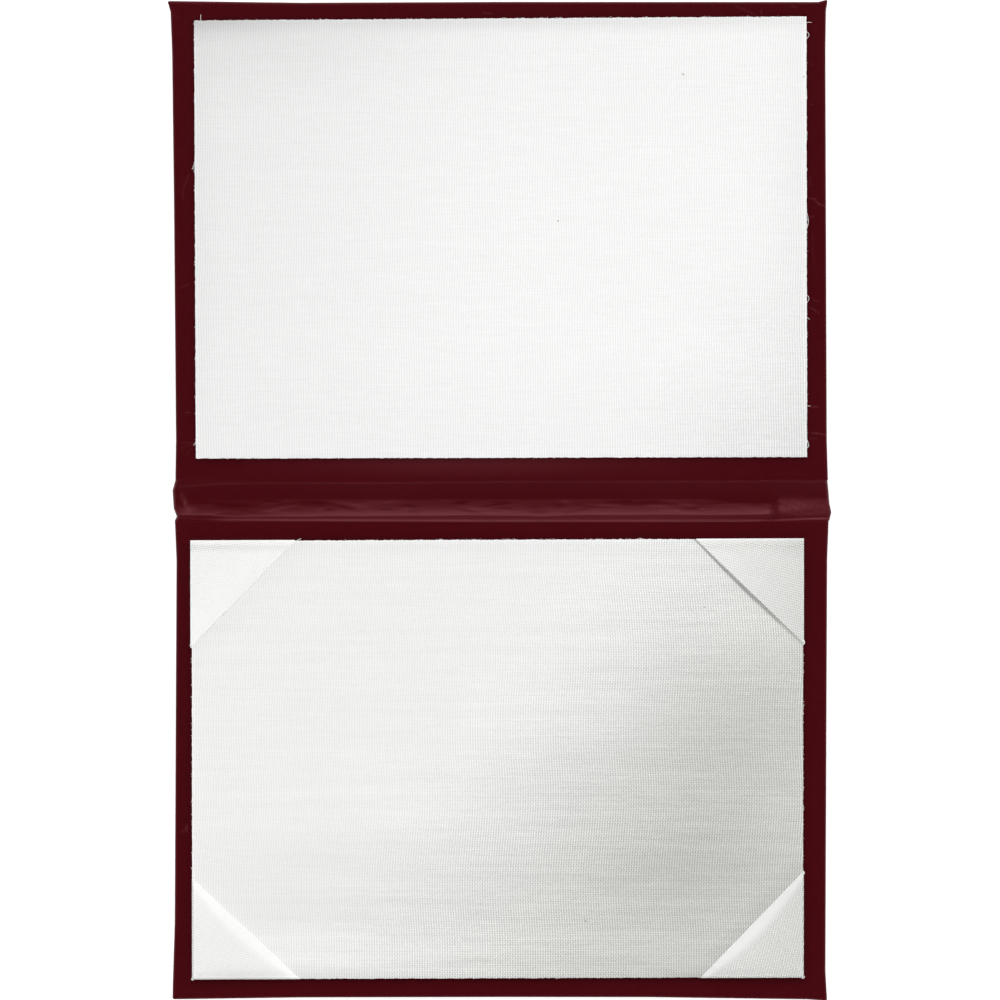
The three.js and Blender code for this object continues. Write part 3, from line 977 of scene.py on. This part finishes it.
def lining_half(cover):
    """Half of the lining strip: over the spine, up the board's edge and under the liner card."""
    side = SIDES[cover]
    x, y = np.meshgrid(np.linspace(-LINING_END, LINING_END, 400), across_spine(side, 8.0, LINING_REACH))
    z = valley_z(x, y) - 0.2 * ramp(-side * y, 0, SEAM_LAP)
    under_card = INSIDE_Z - 0.03
    z = z + (under_card - z) * ramp(np.abs(y), PANEL_START, PANEL_START + 1.3)
    on_board = ramp(np.abs(y), 5.0, 6.5)
    z = z - 0.55 * ramp(x, LINING_END - 1.2, LINING_END) * (1 - on_board)
    z = z - 0.25 * ramp(x, LINING_END - LINING_EASE, LINING_END) * on_board
    z = z - ramp(-x, LINING_END - LINING_EASE, LINING_END) * (0.12 + 0.13 * on_board)
    grid = np.stack([x, y, z], -1)
    nodes = (cover + "_hinge_lining", "spine_lining")
    # With the painted highlight and sheen of the bent lining
    spine_half("_lining", cover, grid, valley_painted_highlight(x, y), 0.2, (2 * LINING_END, LINING_CUT), nodes)


# Reach of the spine's left and right end over y
SPINE_ENDS = {
    -1: ([-7.3, -5.9, -4.75, -2.4, 2.9, 5.8, 7.3], [94.4, 95.8, 95.27, 96.17, 96.52, 95.7, 94.4]),
    1: ([-7.3, -5.9, -3.6, -0.7, 2.9, 5.8, 7.3], [94.4, 96.2, 96.8, 96.2, 95.93, 95.6, 94.4]),
}


def spine_leatherette(cover):
    """Half of the spine's leatherette: a profile in x and z carried along y. It runs from its turned-in end
    on the left, round the left end, under the spine, round the right end and in again."""
    side = SIDES[cover]
    y = across_spine(side, SPINE_HALF - 0.15, SPINE_HALF)[:, None]
    lap = ramp(-side * y, 0, SEAM_LAP)
    bottom = SPINE_BOTTOM_Z + 0.35 * ramp(np.abs(y), 3.4, 5.2) + 0.15 * lap
    sunk = 0.13 * ramp(np.abs(y), 4.4, SPINE_HALF)
    flap = np.linspace(0, 1, 26)[None, :]
    flap_start = LINING_END - LINING_EASE
    arc = np.linspace(0, np.pi, 14)[None, 1:-1]
    ends = []
    for sign in (-1, 1):
        straight = np.interp(y, *SPINE_ENDS[sign]) - SPINE_END_ROUND
        flap_x = sign * (flap_start + (straight - flap_start) * flap)
        under_lining = 0.06 * ramp(-np.abs(flap_x), -LINING_END, 4 - LINING_END)
        flap_z = valley_z(flap_x, np.broadcast_to(y, flap_x.shape)) - under_lining - sunk - 0.2 * lap
        half = (flap_z[:, -1:] - bottom) / 2
        arc_x = sign * (straight + SPINE_END_ROUND * np.sin(arc))
        arc_z = bottom + half + half * np.cos(arc)
        end_x = np.concatenate([flap_x, arc_x], 1)
        end_z = np.concatenate([flap_z, arc_z], 1)
        ends.append((sign * straight, end_x, end_z))
    (left, left_x, left_z), (right, right_x, right_z) = ends
    under_x = left + (right - left) * np.linspace(0, 1, 60)[None, :]
    under_z = np.broadcast_to(bottom, under_x.shape)
    x = np.concatenate([left_x, under_x, right_x[:, ::-1]], 1)
    z = np.concatenate([left_z, under_z, right_z[:, ::-1]], 1)
    y = np.broadcast_to(y, x.shape)
    inside = ramp(z, bottom + 0.2, bottom + 1.0)
    grid = np.stack([x, y, z], -1)
    # Painted highlight and sheen on the inside of the spine's leatherette
    painted_highlight = inside * valley_painted_highlight(x, y)
    cut = (2 * (HALF_WIDTH + TURN_IN), SPINE_CUT)
    spine_half("_spine_leatherette", cover, grid, painted_highlight, 1 - 0.8 * inside, cut, ("spine_skin",), turned=True)


for cover_name in SIDES:
    lining_half(cover_name)
    spine_leatherette(cover_name)


# Liner panels and pocket corners

# Each pocket: which way it points from the panel's middle, its legs along the panel's sides, and its looks
# as pocket_layers, top_glow and pocket_cloth describe them
POCKETS = {
    "top_left": {
        "signs": (-1, 1),
        "legs": (30.2, 30.8),
        "wrap": (0.4, 0.125),
        "lift": 0.0,
        "fold_width": 16,
        "weave": (-15, -83, 0.62),
        "glow": (0.025, 0.0, 0.0),
        "fold_glow": 0.25,
        "rim": (0.08, 0.075),
    },
    "top_right": {
        "signs": (1, 1),
        "legs": (31.4, 30.5),
        "wrap": (0.2, 0.065),
        "lift": 0.75,
        "fold_width": 8,
        "weave": (75, -43, 0.59),
        "glow": (0.02, 0.02, 0.0),
        "fold_glow": 0.0,
        "rim": (0.18, 0.08),
    },
    "bottom_left": {
        "signs": (-1, -1),
        "legs": (31.5, 29.4),
        "wrap": (0.05, 0.05),
        "lift": 0.0,
        "fold_width": 5,
        "weave": (75, -43, 0.59),
        "glow": (0.08, -0.3, -0.12),
        "fold_glow": 0.1,
        "rim": (0.0, 0.0),
    },
    "bottom_right": {
        "signs": (1, -1),
        "legs": (29.9, 30.8),
        "wrap": (0.15, 0.1),
        "lift": 0.0,
        "fold_width": 5,
        "weave": (-14, 41, 0.47),
        "glow": (0.17, -0.2, 0.0),
        "fold_glow": 0.34,
        "rim": (0.0, 0.0),
    },
}
# Painted shade that each pocket's fold casts on the panel, painted light where it is negative: strength and
# width
FOLD_SHADES = {
    "top_left": (0.03, 9),
    "top_right": (0.06, 2.0),
    "bottom_left": (-0.03, 2.5),
    "bottom_right": (0.09, 6),
}
RAG_SEEDS = {"front": 3, "back": 4}


def panel_grid(cover, x, y, z):
    """Points on a cover's panel with four corners, from shares -1 to 1 along x and y, and heights."""
    corners = CORNERS[cover]
    share_x = (x[..., None] + 1) / 2
    share_y = (y[..., None] + 1) / 2
    low = corners[0] + (corners[1] - corners[0]) * share_x
    high = corners[3] + (corners[2] - corners[3]) * share_x
    return np.concatenate([low + (high - low) * share_y, np.broadcast_to(z, x.shape)[..., None]], -1)


def edge_crowded(half, step):
    """Places from -half to half: close together at both ends, then step apart."""
    close = np.array([0, 0.15, 0.3, 0.5, 0.8, 1.2, 1.8, 2.6])
    inner = half - 3.4
    count = int(round(2 * inner / step))
    return np.concatenate([close - half, np.linspace(-inner, inner, count), (half - close)[::-1]])


def liner_cloth(cover, pockets):
    """One liner panel's cloth: flat, with a low lip along its raw edge, which is a little ragged. It carries
    painted shade along the pocket folds that lie on it, and painted light along the bottom left one."""
    x, y = np.meshgrid(edge_crowded(LINER_WIDTH / 2, 0.66), edge_crowded(LINER_HEIGHT / 2, 1.0))
    ragged = np.random.default_rng(RAG_SEEDS[cover])
    from_side = LINER_WIDTH / 2 - np.abs(x)
    from_end = LINER_HEIGHT / 2 - np.abs(y)
    side_rag = ragged.normal(0, 0.03, x.shape[0])[:, None] * np.exp(-from_side / 0.3)
    end_rag = ragged.normal(0, 0.05, x.shape[1])[None, :] * np.exp(-from_end / 0.3)
    from_edge = np.minimum(from_side, from_end)
    lip = 0.06 * swell(from_edge, 0.6, 1.2) - 0.05 * np.exp(-from_edge / 0.15)
    z = CLOTH_TOP_Z[cover] - 0.02 + lip + 0.03 * np.sin(x / 31 + 1) * np.sin(y / 23)
    rim = np.exp(-np.minimum(from_side, np.where(y > 0, from_end, from_side)) / 0.45)
    fold_shade = np.zeros(x.shape)
    for name, pocket in pockets.items():
        sign_x, sign_y = pocket["signs"]
        leg_x, leg_y = pocket["legs"]
        strength, width = FOLD_SHADES[name]
        share = (LINER_WIDTH / 2 - sign_x * x) / leg_x + (LINER_HEIGHT / 2 - sign_y * y) / leg_y
        fold_shade += strength * ramp(-(share - 1) / np.hypot(1 / leg_x, 1 / leg_y), -width, 0)
    x = x + np.sign(x) * side_rag
    y = y + np.sign(y) * end_rag
    grid = panel_grid(cover, 2 * x / LINER_WIDTH, 2 * y / LINER_HEIGHT, z)
    masks = {"rim": rim, "fold_shade": fold_shade}
    piece = sheet_piece(cover + "_liner_cloth", grid, LINER_CLOTH, LINER_FABRIC[cover], masks)
    settle(piece, cover, cover + "_liner_fabric")


def liner_card(cover):
    """The card under one panel's cloth, cut a little smaller."""
    share = np.linspace(-0.998, 0.998, 9)
    grid = panel_grid(cover, *np.meshgrid(share, share), CLOTH_LOW_Z[cover] - 0.02)
    piece = sheet_piece(cover + "_card", grid, LINER_CARD, CARD)
    settle(piece, cover, cover + "_liner_card")


def pocket_layers(legs, wrap, lift, fold_width):
    """Layers of a pocket corner of doubled cloth, in their order from the inner one out, as pairs of places
    and heights. Gives how far its top is from its fold and from its edge too.

    Places are distances from the panel's corner along its two sides. Rows run along the fold from one leg's
    tip to the other's, and columns run square to it: the inner layer, the round of the fold, the top, the
    wrap round the panel's edge, and the flap under the card. The fold is lifted off the panel by lift at its
    middle, over fold_width the top rises from it to its full height, and it eases down again towards the
    edge. The cloth stands proud of the panel by wrap."""
    legs = np.array(legs)
    s = POCKET_ROWS
    shares = np.stack([1 - s, s], -1)
    fold = legs * shares
    bare_edge = legs * np.clip(2 * shares - 1, 0, 1)
    edge = bare_edge - wrap * ramp(-shares, -0.58, -0.5)
    length = np.linalg.norm(edge - fold, axis=-1)
    even = np.linspace(0, 1, 44)[None, :]
    t = 0.3 * even + 0.7 * (0.5 - 0.5 * np.cos(np.pi * even))
    from_fold = t * length
    from_edge = (1 - t) * length
    fold_top = CLOTH_TOP_Z["back"] + 0.015 + 2 * POCKET_FOLD_RADIUS + lift * np.sin(np.pi * s) ** 1.3
    rising = np.sin(np.pi / 2 * np.clip(from_fold / fold_width, 0, 1))
    top_z = fold_top + (POCKET_TOP_Z - 0.1 - fold_top) * rising - 0.45 * ramp(-from_edge, -4, 0) * rising
    top_z = top_z - 0.08 * np.clip(1 - from_edge / 0.25, 0, 1) ** 2
    top = fold + (edge - fold) * t[..., None]

    angle = np.linspace(np.pi, 0, 9)[None, 1:-1]
    fold_z = top_z[:, :1] - POCKET_FOLD_RADIUS
    bend = fold + legs[::-1] / np.hypot(*legs) * POCKET_FOLD_RADIUS * np.sin(angle)[..., None]
    bend_z = fold_z + POCKET_FOLD_RADIUS * np.cos(angle)

    inner = fold + (bare_edge - fold) * np.linspace(0.9, 0, 8)[None, :, None]
    inner_z = np.repeat(fold_z - POCKET_FOLD_RADIUS, inner.shape[1], 1)

    down = np.linspace(0, 1, 7)[None, 1:]
    wall = np.repeat(edge, down.shape[1], 1)
    wall_z = top_z[:, -1:] + (POCKET_LOW_Z + 0.05 - top_z[:, -1:]) * down

    turn_in = ramp(s, 0.42, 0.58)
    flap = edge + np.stack([turn_in, 1 - turn_in], -1) * np.array([0.3, 3.0, POCKET_FLAP])[None, :, None]
    flap_z = np.full(flap.shape[:2], POCKET_LOW_Z + 0.04)
    layers = [(inner, inner_z), (bend, bend_z), (top, top_z), (wall, wall_z), (flap, flap_z)]
    return layers, from_fold, from_edge


def top_glow(from_fold, from_edge, from_long_side, fold_width, glow, rim):
    """How much brighter a pocket's top is painted, as a sum of ramps and bell curves: painted highlight where
    it is positive, painted shade where it is negative. The first glow is towards the fold, the second along
    the edge, less a part of it on a line further in, and the third on a line inside the side edge. The first
    rim is a painted highlight on the very edge along the panel's long side, and the second is a darker band of
    painted shade inside that."""
    s = POCKET_ROWS
    band = fold_width * (0.3 + 0.7 * np.sin(np.pi * s))
    edge = np.exp(-from_edge / 0.55) - 0.3 * swell(from_edge, 1.05, 0.4)
    bright = glow[0] * ramp(-from_fold / band, -1, -0.35) + glow[1] * edge
    bright = bright + glow[2] * swell(from_edge, 0.5, 0.15) * ramp(s, 0.5, 0.52)
    bright = bright + rim[0] * np.exp(-np.abs(from_long_side) / 0.35)
    return bright - rim[1] * swell(from_long_side, 1.9, 1.2)


def pocket_cloth(name, signs, legs, wrap, lift, fold_width, weave, glow, fold_glow, rim):
    """One pocket corner from its layers, with a band of painted shade near the panel's top left corner. weave
    gives how its ribs and its threads are turned, in degrees, and how far apart its threads are. The upper
    part of its fold is painted brighter by fold_glow than the top beside it, as a painted highlight."""
    layers, from_fold, from_edge = pocket_layers(legs, np.array(wrap), lift, fold_width)
    places = np.concatenate([layer for layer, _ in layers], 1)
    z = np.concatenate([heights for _, heights in layers], 1)
    shares = np.array(signs) * (1 - 2 * places / (LINER_WIDTH, LINER_HEIGHT))
    grid = panel_grid("back", shares[..., 0], shares[..., 1], z)
    inner, bend, top = [layer for layer, _ in layers[:3]]
    start = inner.shape[1] + bend.shape[1]
    # Painted highlight on the fold's round, and painted highlight and shade on the top
    bright = np.zeros(z.shape)
    bright[:, start - 5:start] = glow[0] + fold_glow
    on_top = np.s_[:, start:start + top.shape[1]]
    bright[on_top] = top_glow(from_fold, from_edge, top[..., 1], fold_width, glow, rim)
    x = grid[..., 0]
    y = grid[..., 1]
    # A band of painted shade below the top edge near the panel's top left corner, where the cloth dips
    painted_dip_shade = 0.08 * swell(x, -86, 17) * swell(y, -13.65, 0.95)
    rib_turn, thread_turn = np.radians(weave[:2])
    closer = THREAD_GAP / weave[2]
    masks = {
        "glow": bright - painted_dip_shade,
        "thread_u": (x * np.cos(rib_turn) + y * np.sin(rib_turn)) * MM,
        "thread_v": (x * np.cos(thread_turn) + y * np.sin(thread_turn)) * closer * MM,
    }
    turned = signs[0] * signs[1] < 0
    piece = sheet_piece("pocket_cloth_" + name, grid, POCKET_CLOTH, POCKET_FABRIC, masks, turned)
    settle(piece, "back", "pocket_corner_" + name)


for cover_name, panel_pockets in (("front", {}), ("back", POCKETS)):
    liner_card(cover_name)
    liner_cloth(cover_name, panel_pockets)
for pocket_name, pocket_shape in POCKETS.items():
    pocket_cloth(pocket_name, **pocket_shape)


# Loose threads

def fibres(name, cover, paths, radius, material, sides=5):
    """Thin round threads that ride on a cover. paths holds one row of points for each thread."""
    paths = np.asarray(paths, float)
    count, length = paths.shape[:2]
    along = np.gradient(paths, axis=1)
    along /= np.linalg.norm(along, axis=-1, keepdims=True)
    across = np.cross(along, np.array([0.1, 0.2, 1.0]))
    across /= np.linalg.norm(across, axis=-1, keepdims=True)
    up = np.cross(across, along)
    angle = np.linspace(0, 2 * np.pi, sides, endpoint=False)[:, None]
    ring = np.cos(angle) * across[:, :, None] + np.sin(angle) * up[:, :, None]
    points = paths[:, :, None] + radius * ring
    first = (np.arange(count) * length * sides)[:, None]
    quads = (grid_quads(length, sides, closed=True)[None] + first[..., None]).reshape(-1, 4)
    start_caps = first + np.arange(sides)[::-1]
    end_caps = first + (length - 1) * sides + np.arange(sides)
    faces = quads.tolist() + start_caps.tolist() + end_caps.tolist()
    piece = new_piece(name, points.reshape(1, -1, 3), faces, material)
    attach(piece, cover + "_cover")


def curves_through(threads, cloth_z, count=9):
    """Smooth paths through a few points each, with their heights above the cloth: piecewise lines with
    evenly shared points, eased twice."""
    paths = []
    for points in threads:
        points = np.asarray(points, float) + (0, 0, cloth_z)
        share = np.linspace(0, len(points) - 1, count)
        path = np.stack([np.interp(share, np.arange(len(points)), axis) for axis in points.T], 1)
        for _ in range(2):
            path[1:-1] = (path[:-2] + 2 * path[1:-1] + path[2:]) / 4
        paths.append(path)
    return paths


def edge_fuzz(corners, z, seed, clear):
    """Short fibres that stick out of a panel's raw edge, leaning either way along it. None stand in the
    share clear of each edge next to the corners."""
    fuzz = np.random.default_rng(seed)
    edge = fuzz.choice(4, FUZZ_COUNT, p=[0.05, 0.22, 0.5, 0.23])
    share = fuzz.uniform(clear, 1 - clear, FUZZ_COUNT)[:, None]
    start = corners[edge]
    run = corners[(edge + 1) % 4] - start
    side = run / np.linalg.norm(run, axis=1, keepdims=True)
    outward = np.stack([side[:, 1], -side[:, 0]], 1)
    root = start + run * share - 0.25 * outward
    reach = fuzz.uniform(0.25, 0.6, FUZZ_COUNT)[:, None]
    lean = fuzz.normal(0, 0.5, FUZZ_COUNT)[:, None]
    t = np.linspace(0, 1, 4)[None, :, None]
    flat = root[:, None] + (outward * reach)[:, None] * t + (side * lean)[:, None] * t**2
    height = z - 0.08 - 0.25 * fuzz.uniform(0, 1, FUZZ_COUNT)[:, None, None] * t
    return np.concatenate([flat, height], -1)


# Threads at the raw edges and nubs at the pockets' tips, as places and heights above the cloth
THREADS = {
    "front": [
        [(89.2, 140.0, -0.05), (90.2, 140.1, 0), (90.9, 140.0, -0.2)],
        [(89.3, 137.4, 0), (90.2, 136.8, 0.2), (90.1, 135.9, 0.1), (89.3, 135.3, 0)],
        [(89.5, 84.2, 0), (89.95, 82.5, 0), (89.9, 81.0, -0.1), (89.5, 79.6, 0)],
        [(89.5, 60.2, 0), (90.2, 59.4, 0), (90.1, 58.6, -0.2), (89.5, 58.0, 0)],
        [(89.5, 53.5, 0), (90.0, 53.3, 0), (90.3, 53.0, -0.2)],
        [(89.5, 27.7, 0), (90.1, 27.6, 0), (90.5, 27.7, -0.2)],
        [(89.6, 17.6, 0), (90.0, 16.6, 0), (90.1, 15.8, -0.1), (89.6, 15.4, 0)],
        [(-89.7, 99.6, 0), (-90.2, 98.2, 0), (-90.6, 97.0, -0.2)],
        [(-89.8, 98.6, 0), (-90.15, 97.4, 0), (-90.0, 96.5, -0.1)],
        [(-89.5, 17.0, 0), (-90.0, 16.6, 0), (-90.2, 16.0, -0.1)],
        [(-88.1, 140.4, 0), (-88.2, 141.4, 0), (-88.1, 142.3, -0.2)],
    ],
    "back": [
        [(-60.0, -11.8, 0), (-59.4, -11.5, 0.1), (-58.7, -11.2, 0)],
        [(39.6, -11.6, 0), (40.2, -11.1, 0), (41.2, -11.2, -0.1)],
    ],
}
POCKET_NUBS = [
    [(-91.0, -42.0, 0), (-91.15, -42.6, 0), (-90.85, -43.3, -0.1)],
    [(88.5, -41.0, 0), (88.85, -41.7, 0), (88.4, -42.3, -0.1)],
    [(-90.5, -139.9, 0), (-90.8, -140.5, 0), (-90.3, -140.6, -0.1)],
    [(88.3, -108.6, 0), (88.75, -109.2, 0), (88.4, -109.8, -0.1)],
    [(88.0, -140.0, 0), (88.6, -140.0, 0), (88.7, -139.4, -0.1)],
]
# Seed of each panel's fuzz, and the share of its edges that is clear next to the corners
FUZZ = {"front": (21, 0.01), "back": (22, 0.25)}
for cover_name, edge_threads in THREADS.items():
    cloth_top = CLOTH_TOP_Z[cover_name]
    loose_paths = curves_through(edge_threads, cloth_top)
    fuzz_paths = edge_fuzz(CORNERS[cover_name], cloth_top, *FUZZ[cover_name])
    fibres(cover_name + "_loose_threads", cover_name, loose_paths, THREAD_RADIUS, THREAD)
    fibres(cover_name + "_edge_fuzz", cover_name, fuzz_paths, FUZZ_RADIUS, THREAD, sides=4)
fibres("pocket_nubs", "back", curves_through(POCKET_NUBS, CLOTH_TOP_Z["back"]), NUB_RADIUS, THREAD)

# Specks of dark lint on the cloth, as places and lengths along x and y
LINT = {
    "front": [
        (53.0, 125.0, 0.5, -0.3),
        (16.4, 81.7, 0.4, 0.3),
        (75.5, 141.5, 0.4, 0.1),
        (88.4, 124.0, 0.3, 0.2),
    ],
    "back": [(59.4, -31.6, 0.2, 0.4), (24.5, -123.1, 0.3, -0.3)],
}
for cover_name, specks in LINT.items():
    bows = [[(x, y, 0), (x + dx / 2, y + dy, 0.08), (x + dx, y + dy, 0)] for x, y, dx, dy in specks]
    lint_paths = curves_through(bows, CLOTH_TOP_Z[cover_name], count=5)
    fibres(cover_name + "_lint", cover_name, lint_paths, LINT_RADIUS, LINT_FIBRE)


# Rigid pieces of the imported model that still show

for node_name, node in frame["nodes"].items():
    if node.hide_render:
        continue
    node.data.materials.clear()
    node.data.materials.append(BOARD if node_name.endswith("board") else CARD)


# Floor, light and camera

FLOOR_REACH = 9000.0
SWEEP_RADIUS = 3000.0
WALL_HEIGHT = 6000.0
FLOOR_GAP = 0.02
KEY_ENERGY = 1.2
KEY_SPREAD = 45.0
KEY_SLANT = -44.0
LOW_SKY = (1.69, 1.69, 1.69, 1)
HIGH_SKY = (0.03, 0.03, 0.03, 1)


def floor_paint():
    """Pale paint that looks white to the camera and in reflections, and still takes the shadow."""
    material, shader, _ = new_material("studio_floor", roughness=1.0, specular=0.0)
    shader["Base Color"].default_value = (0.8, 0.8, 0.8, 1)
    shader["Emission Color"].default_value = (1, 1, 1, 1)
    rays = all_outputs(place(material.node_tree, "ShaderNodeLightPath", {}))
    mirrored = sums("MAXIMUM", rays["Is Glossy Ray"], rays["Is Transmission Ray"])
    plug(shader["Emission Strength"], sums("MAXIMUM", rays["Is Camera Ray"], mirrored) * 0.66)
    return material


def studio_floor():
    """A round floor whose rim sweeps up into a wall: a profile of radius and height turned about Z."""
    angle = np.linspace(0, 2 * np.pi, 96, endpoint=False)[None, :]
    sweep = np.linspace(0, np.pi / 2, 12)
    swept_radius = FLOOR_REACH + SWEEP_RADIUS * np.sin(sweep)
    swept_height = SWEEP_RADIUS * (1 - np.cos(sweep))
    radius = np.concatenate([[2.0, 200.0, 2000.0], swept_radius, [FLOOR_REACH + SWEEP_RADIUS]])[:, None]
    height = np.concatenate([[0.0, 0.0, 0.0], swept_height, [WALL_HEIGHT]])[:, None] - FLOOR_GAP
    points = np.stack(np.broadcast_arrays(radius * np.cos(angle), radius * np.sin(angle), height), -1)
    quads = grid_quads(len(radius), angle.shape[1], closed=True)[:, ::-1]
    faces = quads.tolist() + [list(range(angle.shape[1]))]
    new_piece("studio_floor", points, faces, floor_paint())


def studio_light():
    """A soft key light from the front cover's side, and a sky that is dim overhead and pale low down."""
    lamp = bpy.data.lights.new("key", "SUN")
    lamp.energy = KEY_ENERGY
    lamp.angle = np.radians(KEY_SPREAD)
    key = bpy.data.objects.new("key", lamp)
    key.rotation_euler = (np.radians(KEY_SLANT), 0, 0)
    bpy.context.scene.collection.objects.link(key)
    world = bpy.data.worlds.new("studio")
    bpy.context.scene.world = world
    world.use_nodes = True
    tree = world.node_tree
    _, _, up = axes_of(place(tree, "ShaderNodeTexCoord", {}, "Generated"))
    sky = mixed(fade(up, 0.6, 0.85), LOW_SKY, HIGH_SKY)
    plug(tree.nodes["Background"].inputs["Color"], sky)


def photo_camera():
    """A long lens straight above, framed as the photograph."""
    camera = bpy.data.cameras.new("camera")
    camera.sensor_width = SENSOR_WIDTH
    camera.lens = SENSOR_WIDTH * (CAMERA_HEIGHT - CAMERA_FOCUS_Z) / PHOTO_WIDTH
    camera.clip_end = 100.0
    stand = bpy.data.objects.new("camera", camera)
    stand.location = in_metres(PHOTO_MIDDLE, CAMERA_HEIGHT * MM)
    bpy.context.scene.collection.objects.link(stand)
    bpy.context.scene.camera = stand


studio_floor()
studio_light()
photo_camera()
bpy.context.scene.view_settings.view_transform = "Standard"
